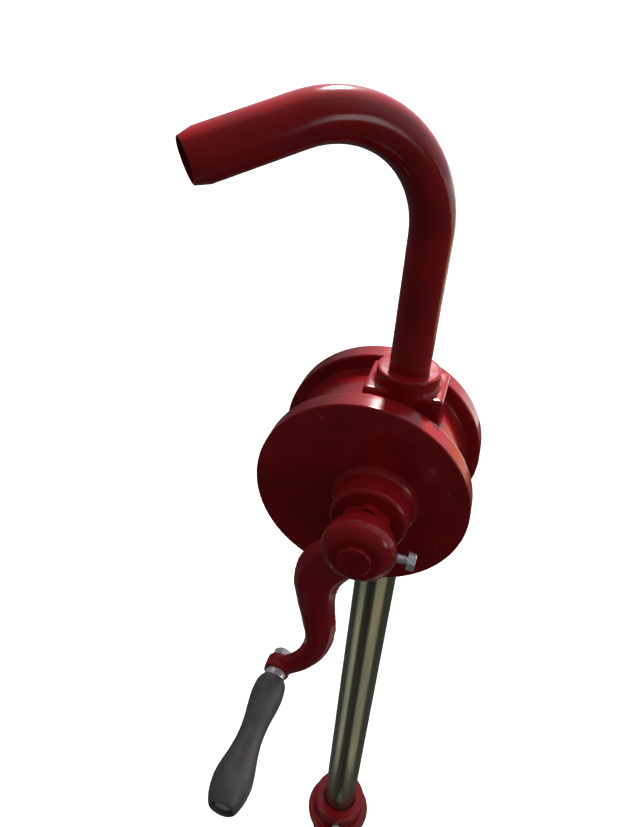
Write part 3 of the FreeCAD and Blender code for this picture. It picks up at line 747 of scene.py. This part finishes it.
flange_radius = half_size("pump_body", 0)
rough = BODY_HALF + SPARE
inner = BODY_HALF - FLANGE
body = lathe("pump_body", [
    (0, -rough), (flange_radius, -rough), (flange_radius, -inner), (BARREL_RADIUS, -inner),
    (BARREL_RADIUS, inner), (flange_radius, inner), (flange_radius, rough), (0, rough),
], DISC_STEPS)
stand(body, (CASING_X, 0, SHAFT_Z), BACK)
pads = add(
    bpy.ops.mesh.primitive_cube_add, "pads",
    size=1, location=(0, 0, SHAFT_Z), scale=(*PAD, 2 * COVER_RADIUS),
)
bpy.ops.object.transform_apply(scale=True, location=True)
edit(pads, "DESELECT")
bpy.ops.object.mode_set(mode="OBJECT")
for edge in pads.data.edges:
    start, end = (pads.data.vertices[v].co for v in edge.vertices)
    edge.select = abs(start.z - end.z) > MM
bpy.ops.object.mode_set(mode="EDIT")
bpy.ops.mesh.select_mode(type="EDGE")
bpy.ops.mesh.bevel(offset=PAD_CORNER, segments=6)
bpy.ops.mesh.select_mode(type="VERT")
bpy.ops.object.mode_set(mode="OBJECT")
necks = stand(rod("necks", NECK_RADIUS, -NECK_END, NECK_END, PIPE_STEPS), (0, 0, SHAFT_Z))
cut(body, pads, "UNION")
cut(body, necks, "UNION")
print("rough casting:", len(body.data.polygons), "faces")

# %% Body casting: one skin, smoothed, then machined
apply_modifier(body, "REMESH", mode="VOXEL", voxel_size=VOXEL)
apply_modifier(body, "SMOOTH", factor=0.5, iterations=3)
print("after the remesh:", len(body.data.polygons), "faces")
for side in (FRONT, BACK):
    place = (CASING_X, side.y * BODY_HALF, SHAFT_Z)
    drill(body, 2 * COVER_RADIUS, 0, SLAB, place, side, 32)
CHAMBER_X = SHAFT_X - 9.0 * MM
CHAMBER_RADIUS = 52.0 * MM
PORT_RADIUS = 10.5 * MM
SOCKET_DEPTH = 22.0 * MM
SPOUT_ROOM = half_size("spout_seal", 0) + 0.1 * MM
TUBE_RADIUS = half_size("suction_tube_outer", 0)
top_socket = (0, 0, SHAFT_Z + NECK_END - SOCKET_DEPTH)
low_socket = (0, 0, SHAFT_Z - NECK_END + SOCKET_DEPTH)
drill(body, CHAMBER_RADIUS, -rough, rough, (CHAMBER_X, 0, SHAFT_Z), BACK, 160)
drill(body, PORT_RADIUS, -2 * NECK_END, 2 * NECK_END, (0, 0, SHAFT_Z))
drill(body, SPOUT_ROOM, 0, 2 * SOCKET_DEPTH, top_socket)
drill(body, TUBE_RADIUS, -2 * SOCKET_DEPTH, 0, low_socket)
dress(body, "pump_body", CAST_SHARP)

# %% [markdown]
# ## The crank
#
# The crank is a swan neck: it leaves the hub low on the left, swings round and ends in a
# small eye. Eight-sided rings are set square to that line and bridged, which leaves a soft
# ridge along the arm, then hub, arm and eye are welded and smoothed like the body. The hub
# swells a little where the set screw's thread needs metal, so it is turned from an outline
# of its own.

# %% Crank: rings along the neck
HUB_RADIUS = 20.8 * MM
# How far forward of the hub's back, and radius there, in millimetres
HUB_OUTLINE = (
    (0, 20.3), (3, 21.6), (7, 23.2), (11, 24.2), (14.5, 24.4), (18, 23.2), (20.5, 20.9),
    (22.2, 18.2), (22.7, 16.5),
)
HUB_BACK = reach("crank_arm", 1, 1)
HUB_FRONT = HUB_BACK - HUB_OUTLINE[-1][0] * MM
EYE_BACK = reach("grip_nut", 1, 0)
EYE_FRONT = reach("grip_collar", 1, 1)
EYE_RADIUS = 9.8 * MM
EYE_ROUND = 1.2 * MM
RING_SIDES = 8
RING_REACH = 1.03
# Sideways and upward from the shaft, half width, depth along Y, half thickness, in millimetres
STATIONS = (
    (-3.3, -4.3, 16.5, -86.5, 9.0),
    (-18.5, -21.6, 17.5, -86.5, 8.6),
    (-25.4, -41.6, 15.6, -86.5, 8.0),
    (-24.3, -60.8, 13.8, -86.7, 7.4),
    (-20.5, -83.2, 12.4, -87.2, 6.8),
    (-20.2, -103.7, 9.8, -88.5, 6.2),
    (-29.5, -123.5, 8.8, -90.5, 5.6),
    (-47.5, -139.5, 8.4, -92.0, 5.4),
)
rings = []
for i, (x, z, half_width, y, half_thickness) in enumerate(STATIONS):
    before = STATIONS[max(i - 1, 0)]
    after = STATIONS[min(i + 1, len(STATIONS) - 1)]
    way = Vector((after[0] - before[0], 0, after[1] - before[1])).normalized()
    turn = Matrix((way.cross(BACK), BACK, way)).transposed()
    ring = add(
        bpy.ops.mesh.primitive_circle_add, "ring", vertices=RING_SIDES, radius=RING_REACH,
    )
    ring.scale = (half_width * MM, half_thickness * MM, 1)
    ring.rotation_euler = turn.to_euler()
    ring.location = (SHAFT_X + x * MM, y * MM, SHAFT_Z + z * MM)
    bpy.ops.object.transform_apply(location=True, rotation=True, scale=True)
    rings.append(ring)
crank = join(*rings)
edit(crank)
bpy.ops.mesh.bridge_edge_loops(number_cuts=6, interpolation="SURFACE", smoothness=1.0)
close_ends(crank)
print("swan neck:", len(crank.data.polygons), "faces")

# %% Crank: hub and eye, one skin, then the bores
CRANK_VOXEL = 0.8 * MM
SHAFT_RADIUS = half_size("drive_shaft", 0)
BOLT_BORE = 4.0 * MM
EYE_DEPTH = 15.0 * MM
outline = [(0, 0)] + [(radius * MM, away * MM) for away, radius in HUB_OUTLINE]
outline.append((0, HUB_BACK - HUB_FRONT))
hub = stand(lathe("hub", outline), on_shaft(HUB_BACK), FRONT)
eye = round_edges(rod("eye", EYE_RADIUS, 0, EYE_BACK - EYE_FRONT), EYE_ROUND, 4)
stand(eye, on_grip(EYE_BACK), FRONT)
crank = join(crank, hub, eye)
apply_modifier(crank, "REMESH", mode="VOXEL", voxel_size=CRANK_VOXEL)
apply_modifier(crank, "SMOOTH", factor=0.5, iterations=6)
drill(crank, SHAFT_RADIUS, -HUB_RADIUS, HUB_RADIUS + 5 * MM, on_shaft(HUB_FRONT), BACK)
drill(crank, BOLT_BORE, -EYE_DEPTH, EYE_DEPTH, on_grip(EYE_BACK), BACK)
dress(crank, "crank_arm", CAST_SHARP)

# %% [markdown]
# ## The goose-neck
#
# The spout is a length of pipe. An open ring is extruded up the leg, spun over the bend and
# extruded down the run, as a pipe bender would feed it, and its end is drawn in to the
# mouth's short bevel. A thinner bar, made the same way, is then cut out as the bore.

# %% Spout
SPOUT_RADIUS = 13.45 * MM
SPOUT_BORE = 10.5 * MM
BEND_START = 692.0 * MM
BEND_RADIUS = 67.2 * MM
BEND = math.radians(106.0)
RUN = 50.5 * MM
BEVEL_LENGTH = 8.0 * MM
BEVEL_DEPTH = 2.0 * MM
PIPE_ROUND = 0.3 * MM
AIM = math.radians(220.0)
SPOUT_FOOT = reach("discharge_spout", 2, 0)


def bent_bar(name, radius, spare, mouth_radius):
    """A bar along the spout's line, in the XZ plane; spare is added at both ends."""
    bar = add(
        bpy.ops.mesh.primitive_circle_add, name,
        vertices=96, radius=radius, location=(0, 0, SPOUT_FOOT - spare),
    )
    bpy.ops.object.transform_apply(location=True)
    edit(bar)
    up = (0, 0, BEND_START - SPOUT_FOOT + spare)
    bpy.ops.mesh.extrude_region_move(TRANSFORM_OT_translate={"value": up})
    bpy.ops.mesh.spin(steps=64, angle=BEND, center=(BEND_RADIUS, 0, BEND_START), axis=FRONT)
    way = Vector((math.sin(BEND), 0, math.cos(BEND)))
    for length in (RUN, BEVEL_LENGTH + spare):
        bpy.ops.mesh.extrude_region_move(TRANSFORM_OT_translate={"value": way * length})
    bpy.ops.transform.resize(value=(mouth_radius / radius,) * 3)
    return close_ends(bar)


spout = bent_bar("spout", SPOUT_RADIUS, 0, SPOUT_RADIUS - BEVEL_DEPTH)
cut(spout, bent_bar("bore", SPOUT_BORE, 2 * MM, SPOUT_BORE))
round_edges(spout, PIPE_ROUND)
pick(spout)
spout.rotation_euler.z = AIM
bpy.ops.object.transform_apply(rotation=True)
dress(spout, "discharge_spout", CAST_SHARP)

# %% [markdown]
# ## Shaft, gland and set screw
#
# The pump was sprayed after assembly, so the gland and the shaft's outer end are red, while
# the shaft inside is bare steel. One turning with two materials shows both. The zinc-plated
# set screw was fitted afterwards and stays bright.

# %% Shaft
SHAFT_BACK = reach("drive_shaft", 1, 1)
SHAFT_END = reach("drive_shaft", 1, 0)
PAINT_START = reach("packing_gland", 1, 0)
shaft = lathe("drive_shaft", [
    (0, SHAFT_END), (SHAFT_RADIUS, SHAFT_END), (SHAFT_RADIUS, PAINT_START),
    (SHAFT_RADIUS, SHAFT_BACK), (0, SHAFT_BACK),
])
round_edges(shaft, 1.0 * MM)
stand(shaft, on_shaft(0), BACK)
shaft.data.materials.append(FINISHES["machined_steel"])
shaft.data.materials.append(FINISHES["red_paint"])
for face in shaft.data.polygons:
    face.material_index = int(face.center.y < PAINT_START)
dress(shaft, "drive_shaft")

# %% Gland nut
GLAND_FLATS = 30.0 * MM
GLAND_BORE = SHAFT_RADIUS + 0.15 * MM
boss_end = reach("front_cover", 1, 0)
gland = hexagon("gland", GLAND_FLATS, boss_end - PAINT_START)
stand(gland, on_shaft(boss_end), FRONT)
spigot = rod("spigot", BOX_RADIUS, 0, reach("packing_gland", 1, 1) - boss_end)
cut(gland, stand(spigot, on_shaft(boss_end), BACK), "UNION")
drill(gland, GLAND_BORE, -BOX_DEPTH, BOX_DEPTH, on_shaft(PAINT_START), BACK)
dress(gland, "packing_gland")

# %% Set screw
SET_TILT = math.radians(-2.0)
SET_WAY = Vector((math.cos(SET_TILT), 0, math.sin(SET_TILT)))
SET_NECK = HUB_RADIUS + 10.2 * MM
set_screw = hexagon("set_screw", 10.0 * MM, 5.0 * MM)
stand(set_screw, (0, 0, SET_NECK))
core = rod("core", 2.4 * MM, SHAFT_RADIUS, SET_NECK + MM, BORE_STEPS)
ridge = thread("ridge", 3.0 * MM, 1.0 * MM, HUB_RADIUS - 2 * MM, SET_NECK)
set_screw = join(set_screw, core, ridge)
stand(set_screw, on_shaft((HUB_BACK + HUB_FRONT) / 2), SET_WAY)
dress(set_screw, "crank_set_screw", SCREW_SHARP)

# %% [markdown]
# ## The hand grip
#
# The grip is a moulding that spins on a plated bolt. Its outline has a bead at the collar, a
# waist for the fingers and a full belly. Two faint moulding lines run along it, and the
# bolt's head sits in a pocket at the end.

# %% Hand grip
GRIP_START = reach("hand_grip", 1, 1)
GRIP_END = reach("hand_grip", 1, 0)
# Distance from the grip's inner end, and radius there, in millimetres
GRIP_OUTLINE = (
    (0, 8.2), (0.3, 9.3), (2.5, 10.6), (5, 11.2), (9, 11.6), (14, 11.8), (19, 11.4), (24, 10.7),
    (30, 9.8), (38, 9.0), (46, 8.9), (53, 9.5), (60, 10.6), (67, 12.2), (74, 13.4), (80, 13.5),
    (86, 12.6), (90, 11.4), (93.5, 9.9), (94.9, 8.9), (95.2, 8.0),
)
POCKET_RADIUS = 7.5 * MM
BOLT_ROOM = 4.1 * MM
GRIP_SHARP = 45
length = GRIP_START - GRIP_END
pocket_floor = length - 9.0 * MM
outline = [(radius * MM, away * MM) for away, radius in GRIP_OUTLINE]
outline += [
    (POCKET_RADIUS, length), (POCKET_RADIUS, pocket_floor), (BOLT_ROOM, pocket_floor),
    (BOLT_ROOM, 0),
]
grip = lathe("hand_grip", outline, closed=True)
apply_modifier(grip, "SUBSURF", levels=1, render_levels=1)
dress(stand(grip, on_grip(GRIP_START), FRONT), "hand_grip", GRIP_SHARP)

# %% Collar and nut
COLLAR_RADIUS = half_size("grip_collar", 0)
COLLAR_LENGTH = 5.5 * MM
collar = lathe("collar", [
    (BOLT_BORE, 0), (COLLAR_RADIUS, 0), (COLLAR_RADIUS, COLLAR_LENGTH),
    (BOLT_BORE, COLLAR_LENGTH),
], closed=True)
round_edges(collar, 0.5 * MM)
dress(stand(collar, on_grip(EYE_FRONT), FRONT), "grip_collar")

nut = hexagon("nut", 13.0 * MM, 6.5 * MM)
drill(nut, BOLT_BORE, -MM, 10 * MM)
dress(stand(nut, on_grip(EYE_BACK), BACK), "grip_nut", SCREW_SHARP)

# %% Grip bolt, with a plain shank as far as the eye
BOLT_SEAT = reach("grip_washer", 1, 0)
BOLT_TIP = BOLT_SEAT - reach("grip_bolt", 1, 1)
BOLT_PLAIN = -95.0 * MM
bolt = hexagon("bolt", 11.0 * MM, 5.0 * MM)
core = rod("core", 3.95 * MM, BOLT_PLAIN, 0, BORE_STEPS)
tail = rod("tail", 3.4 * MM, BOLT_TIP, BOLT_PLAIN + MM, BORE_STEPS)
ridge = thread("ridge", 3.98 * MM, 1.25 * MM, BOLT_TIP + 0.5 * MM, BOLT_PLAIN)
bolt = join(bolt, core, tail, ridge)
dress(stand(bolt, on_grip(BOLT_SEAT), FRONT), "grip_bolt", SCREW_SHARP)

# %% [markdown]
# ## The suction tube
#
# The outer tube is plated pipe. It is a plain turning, and its looks are in the plating:
# yellow zinc drawn into long streaks, with the faint seam of welded pipe down the back.

# %% Outer tube, inner tube and end gland
INNER_RADIUS = half_size("suction_tube_inner", 0)
INNER_ROOM = INNER_RADIUS + 0.08 * MM
GLAND_RADIUS = 21.0 * MM


def tube(name, node, radius, wall):
    """A length of pipe on the Z axis, between a CAD node's ends."""
    low, high = reach(node, 2, 0), reach(node, 2, 1)
    pipe = lathe(name, [
        (radius - wall, low), (radius, low), (radius, high), (radius - wall, high),
    ], PIPE_STEPS, closed=True)
    return dress(round_edges(pipe, PIPE_ROUND), node)


tube("outer_tube", "suction_tube_outer", TUBE_RADIUS, 1.5 * MM)
tube("inner_tube", "suction_tube_inner", INNER_RADIUS, 1.2 * MM)
gland_low, gland_top = reach("tube_end_gland", 2, 0), reach("tube_end_gland", 2, 1)
gland_floor = gland_low + 6.0 * MM
end_gland = lathe("end_gland", [
    (INNER_ROOM, gland_low), (GLAND_RADIUS, gland_low), (GLAND_RADIUS, gland_top),
    (TUBE_RADIUS, gland_top), (TUBE_RADIUS, gland_floor), (INNER_ROOM, gland_floor),
], PIPE_STEPS, closed=True)
dress(round_edges(end_gland, 1.2 * MM), "tube_end_gland")

# %% [markdown]
# ## The bung adaptor
#
# The adaptor screws into the drum and clamps the tube. Its thread is wound by the Screw
# modifier on a core turned to the thread's root.

# %% Bung adaptor
THREAD_RADIUS = 29.8 * MM
THREAD_PITCH = 2.309 * MM
FLANGE_RADIUS = half_size("bung_adaptor", 0)
FLANGE_LOW = reach("bung_washer", 2, 1)
FLANGE_TOP = 9.0 * MM
BUNG_COLLAR = 28.0 * MM
BUNG_TOP = reach("bung_adaptor", 2, 1)
BUNG_LOW = reach("bung_adaptor", 2, 0)
BUNG_BORE = TUBE_RADIUS + 0.1 * MM
GROOVE_LOW = 23.0 * MM
GROOVE_TOP = 29.0 * MM
GROOVE_RADIUS = 21.0 * MM
LOCK_AIM = math.radians(278.0)
LOCK_WAY = Vector((math.cos(LOCK_AIM), math.sin(LOCK_AIM), 0))
LOCK_BASE = (0, 0, 17.5 * MM)
LOCK_RADIUS = 4.0 * MM
core_radius = THREAD_RADIUS - THREAD_DEPTH * THREAD_PITCH
adaptor = lathe("adaptor", [
    (BUNG_BORE, BUNG_LOW), (core_radius, BUNG_LOW), (core_radius, FLANGE_LOW),
    (FLANGE_RADIUS, FLANGE_LOW), (FLANGE_RADIUS, FLANGE_TOP), (BUNG_COLLAR, FLANGE_TOP),
    (BUNG_COLLAR, BUNG_TOP), (BUNG_BORE, BUNG_TOP),
], 160, closed=True)
round_edges(adaptor, 2.0 * MM, 4)
ridge = thread("ridge", THREAD_RADIUS, THREAD_PITCH, BUNG_LOW + 0.5 * MM, FLANGE_LOW, 96)
cut(adaptor, lathe("groove", [
    (TUBE_RADIUS - MM, GROOVE_LOW), (GROOVE_RADIUS, GROOVE_LOW), (GROOVE_RADIUS, GROOVE_TOP),
    (TUBE_RADIUS - MM, GROOVE_TOP),
], closed=True))
drill(adaptor, LOCK_RADIUS, TUBE_RADIUS, 2 * BUNG_COLLAR, LOCK_BASE, LOCK_WAY, BORE_STEPS)
dress(join(adaptor, ridge), "bung_adaptor")

# %% Lock screw
LOCK_SEAT = BUNG_COLLAR + 4.0 * MM
lock = hexagon("lock", 13.0 * MM, 6.5 * MM)
stand(lock, (0, 0, LOCK_SEAT))
core = rod("core", LOCK_RADIUS - 0.75 * MM, TUBE_RADIUS + 0.2 * MM, LOCK_SEAT + MM, BORE_STEPS)
ridge = thread("ridge", LOCK_RADIUS - 0.02 * MM, 1.25 * MM, TUBE_RADIUS + 0.5 * MM, LOCK_SEAT)
lock = stand(join(lock, core, ridge), LOCK_BASE, LOCK_WAY)
dress(lock, "tube_lock_screw", SCREW_SHARP)

# %% [markdown]
# ## What keeps its CAD shape
#
# The strainer, the seals and everything inside the casing already have the right shape.
# Their meshes are loose triangles, so each gets a welded copy that can be shaded smooth. The
# gaskets' outer edges are drawn out to the flanges and painted, as the casing was sprayed
# whole.

# %% Welded copies of the remaining nodes
def from_casing(point):
    """How far a point is from the casing's axis, to the side and upwards."""
    return Vector((point.x - CASING_X, point.z - SHAFT_Z))


for name, node in frame["nodes"].items():
    if node.hide_render:
        continue
    copy = node.copy()
    copy.data = node.data.copy()
    copy.parent = None
    bpy.context.collection.objects.link(copy)
    for key in list(copy.keys()):
        del copy[key]
    dress(mend(copy, turn=False), name)
    if name.endswith("_gasket"):
        copy.data.materials.append(FINISHES["red_paint"])
        for face in copy.data.polygons:
            face.material_index = int(from_casing(face.center).length > flange_radius - MM)
        for vertex in copy.data.vertices:
            away = from_casing(vertex.co)
            if away.length > flange_radius - MM:
                away *= flange_radius / away.length
                vertex.co.x, vertex.co.z = CASING_X + away.x, SHAFT_Z + away.y

# %% [markdown]
# ## Floor, light and camera
#
# The floor is pale and seamless. The light comes from behind, half way up, as it does in a
# yard: it strikes the rims and ledges and leaves the front in shade. Cards that the camera
# does not see stand round the pump. Flags keep the beam off the left and off the foot, dark
# cloths on the floor keep the gloss deep, a warm card is mirrored in the right rims, and two
# pale cards beside the tube are mirrored along it. The same sun is there three times: one
# for the adaptor, which the low flag shades, one for the floor, which keeps the pump's own
# shadow and no flag's, and one for all else.

# %% Floor: it glows for the rays that see it, and lights nothing by that
FLOOR_Z = reach("foot_strainer", 2, 0) - 0.5 * MM
FLOOR_SIZE = 400
FLOOR_COLOUR = (0.5, 0.5, 0.5, 1)
FLOOR_GLOW = 0.35
WHITE = (1, 1, 1, 1)


def highest(tree, values):
    """The highest of several sockets."""
    result = values[0]
    for value in values[1:]:
        result = math_node(tree, "MAXIMUM", result, value)
    return result


floor = add(
    bpy.ops.mesh.primitive_plane_add, "floor", size=FLOOR_SIZE, location=(0, 0, FLOOR_Z),
)
pale = bpy.data.materials.new("pale_floor")
pale.use_nodes = True
tree = pale.node_tree
tree.nodes.clear()
dull = make_node(tree, "ShaderNodeBsdfDiffuse", {"Color": FLOOR_COLOUR})[0]
glow = make_node(tree, "ShaderNodeEmission", {"Color": WHITE, "Strength": FLOOR_GLOW})[0]
ray = make_node(tree, "ShaderNodeLightPath", {})
seen = highest(tree, (ray["Is Camera Ray"], ray["Is Glossy Ray"], ray["Is Transmission Ray"]))
seen_glow = make_node(tree, "ShaderNodeMixShader", {"Fac": seen, 2: glow})[0]
both = make_node(tree, "ShaderNodeAddShader", {0: dull, 1: seen_glow})[0]
make_node(tree, "ShaderNodeOutputMaterial", {"Surface": both})
floor.data.materials.append(pale)

# %% World: one sky for soft light, one for what the gloss mirrors, white for the camera
# Each sky has a heading, and the span and the levels between which it brightens towards it
SOFT_SKY = ((0.05, 0.70, 0.71), (-0.6, 1.0), (0.12, 1.05))
MIRRORED_SKY = ((0.50, 0.75, 0.43), (0.2, 0.9), (0.12, 1.20))
MIRRORED_TINT = (0.96, 0.88, 1.00, 1)

world = bpy.data.worlds.new("studio")
bpy.context.scene.world = world
world.use_nodes = True
tree = world.node_tree


def sky(way, span, levels):
    """A brightness that rises between two levels as a direction nears way."""
    heading = dot_product(tree, coordinates(tree, "Generated"), way)
    labels = ("Value", "From Min", "From Max", "To Min", "To Max")
    inputs = dict(zip(labels, (heading, *span, *levels)))
    ramp = make_node(tree, "ShaderNodeMapRange", inputs, interpolation_type="SMOOTHSTEP")
    return ramp["Result"]


ray = make_node(tree, "ShaderNodeLightPath", {})
glossy = ray["Is Glossy Ray"]
level = mix_node(tree, "FLOAT", glossy, sky(*SOFT_SKY), sky(*MIRRORED_SKY))
level = highest(tree, (level, ray["Is Camera Ray"], ray["Is Transmission Ray"]))
background = tree.nodes["Background"].inputs
tree.links.new(level, background["Strength"])
tree.links.new(mix_node(tree, "RGBA", glossy, WHITE, MIRRORED_TINT), background["Color"])

# %% Three suns with one light, and a small lamp from the right
CENTRE = Vector((CASING_X, 0, SHAFT_Z))
SUN_WAY = Vector((-0.07, 0.72, 0.69)).normalized()
LAMP_PLACE = Vector((1.0, -0.45, 0.75))


def hang(name, light, place, way):
    """Hangs a lamp that shines from way."""
    obj = bpy.data.objects.new(name, light)
    obj.location = place
    obj.rotation_euler = way.to_track_quat("Z", "Y").to_euler()
    bpy.context.collection.objects.link(obj)
    return obj


sun = bpy.data.lights.new("sun", "SUN")
sun.energy = 11.5
sun.angle = math.radians(7.0)
suns = [hang(name, sun, (0, 0, 0), SUN_WAY) for name in ("sun", "adaptor_sun", "floor_sun")]
lamp = bpy.data.lights.new("right", "AREA")
lamp.shape = "RECTANGLE"
lamp.size, lamp.size_y = 0.25, 0.35
lamp.energy = 1.5
hang("right", lamp, LAMP_PLACE, LAMP_PLACE - CENTRE).visible_camera = False

# %% Cards that the camera does not see
CARD_COLOUR = (0.025, 0.025, 0.025, 1)
BLACK = (0, 0, 0)


def card(name, size, place, way, colour, strength, unseen):
    """A flat card facing way, hidden from the kinds of rays named in unseen."""
    obj = add(bpy.ops.mesh.primitive_plane_add, name, size=1)
    obj.scale = (*size, 1)
    bpy.ops.object.transform_apply(scale=True)
    stand(obj, place, way)
    material = bpy.data.materials.new(name)
    material.use_nodes = True
    shader = material.node_tree.nodes["Principled BSDF"].inputs
    shader["Base Color"].default_value = CARD_COLOUR
    shader["Specular IOR Level"].default_value = 0.0
    shader["Emission Color"].default_value = (*colour, 1)
    shader["Emission Strength"].default_value = strength
    obj.data.materials.append(material)
    for kind in ("camera", *unseen):
        setattr(obj, f"visible_{kind}", False)
    return obj


# %% Flags that only shade, cloths that are only seen, and cards that are only mirrored
shade_only = ("diffuse", "glossy", "transmission")
seen_only = ("shadow", "transmission")
mirrored_only = ("diffuse", "shadow", "transmission")
flag_place = CENTRE + 0.4 * SUN_WAY + Vector((-0.215, 0, 0))
low_place = (-8 * MM, 85 * MM, 110 * MM)
flags = [
    card("flag", (0.4, 0.32), flag_place, SUN_WAY, BLACK, 0, shade_only),
    card("low_flag", (0.08, 0.15), low_place, BACK, BLACK, 0, shade_only),
]
cloth_z = FLOOR_Z + MM
card("cloth", (300, 150), (0, -73.5, cloth_z), UP, BLACK, 0, seen_only)
card("left_cloth", (150, 150), (-75.3, 76.5, cloth_z), UP, BLACK, 0, seen_only)
warm_way = Vector((-0.5, -0.8, 0.3))
warm_place = (0.68, 0.64, 0.40)
card("warm_card", (0.36, 0.42), warm_place, warm_way, (1.0, 0.58, 0.28), 1.6, mirrored_only)
TUBE_FOOT = Vector((middle("suction_tube_outer").x, 0, 0.10))
TUBE_CARD_AWAY = 0.14
for name, way, width, colour in (
    ("left_card", Vector((-0.80, -0.60, 0)), 0.085, (1.0, 1.0, 0.90)),
    ("right_card", Vector((0.70, -0.71, 0)), 0.135, (1.0, 0.90, 0.76)),
):
    place = TUBE_FOOT + TUBE_CARD_AWAY * way
    card(name, (width, 0.44), place, -way, colour, 0.9, mirrored_only)

# %% The same sun in three: the adaptor's has the low flag, and the floor's has no flag
def link_light(lamp_object, kind, objects, state):
    """Says which objects a lamp lights (receiver) or is shaded by (blocker)."""
    group = bpy.data.collections.new(f"{lamp_object.name}_{kind}")
    for obj in objects:
        group.objects.link(obj)
    for member in group.collection_objects:
        member.light_linking.link_state = state
    setattr(lamp_object.light_linking, f"{kind}_collection", group)


low_nodes = ("bung_adaptor", "bung_washer", "tube_lock_screw")
low_pieces = [bpy.data.objects[f"{node}_dressed"] for node in low_nodes]
link_light(suns[0], "receiver", [floor] + low_pieces, "EXCLUDE")
link_light(suns[0], "blocker", flags[1:], "EXCLUDE")
link_light(suns[1], "receiver", low_pieces, "INCLUDE")
link_light(suns[2], "receiver", [floor], "INCLUDE")
link_light(suns[2], "blocker", flags, "EXCLUDE")

# %% Camera: where the photographer stood
LENS = 28.29
STAND_POINT = (0.0356, -0.3755, 0.8176)
RIGHT_WAY = Vector((0.9537, 0.2957, 0.0545))
UP_WAY = Vector((-0.2106, 0.5277, 0.8229))
LOOK_WAY = Vector((-0.2146, 0.7963, -0.5655))
camera_data = bpy.data.cameras.new("camera")
camera_data.lens = LENS
camera = bpy.data.objects.new("camera", camera_data)
camera.rotation_euler = Matrix((RIGHT_WAY, UP_WAY, -LOOK_WAY)).transposed().to_euler()
camera.location = STAND_POINT
bpy.context.collection.objects.link(camera)
bpy.context.scene.camera = camera
bpy.context.scene.view_settings.view_transform = "Standard"
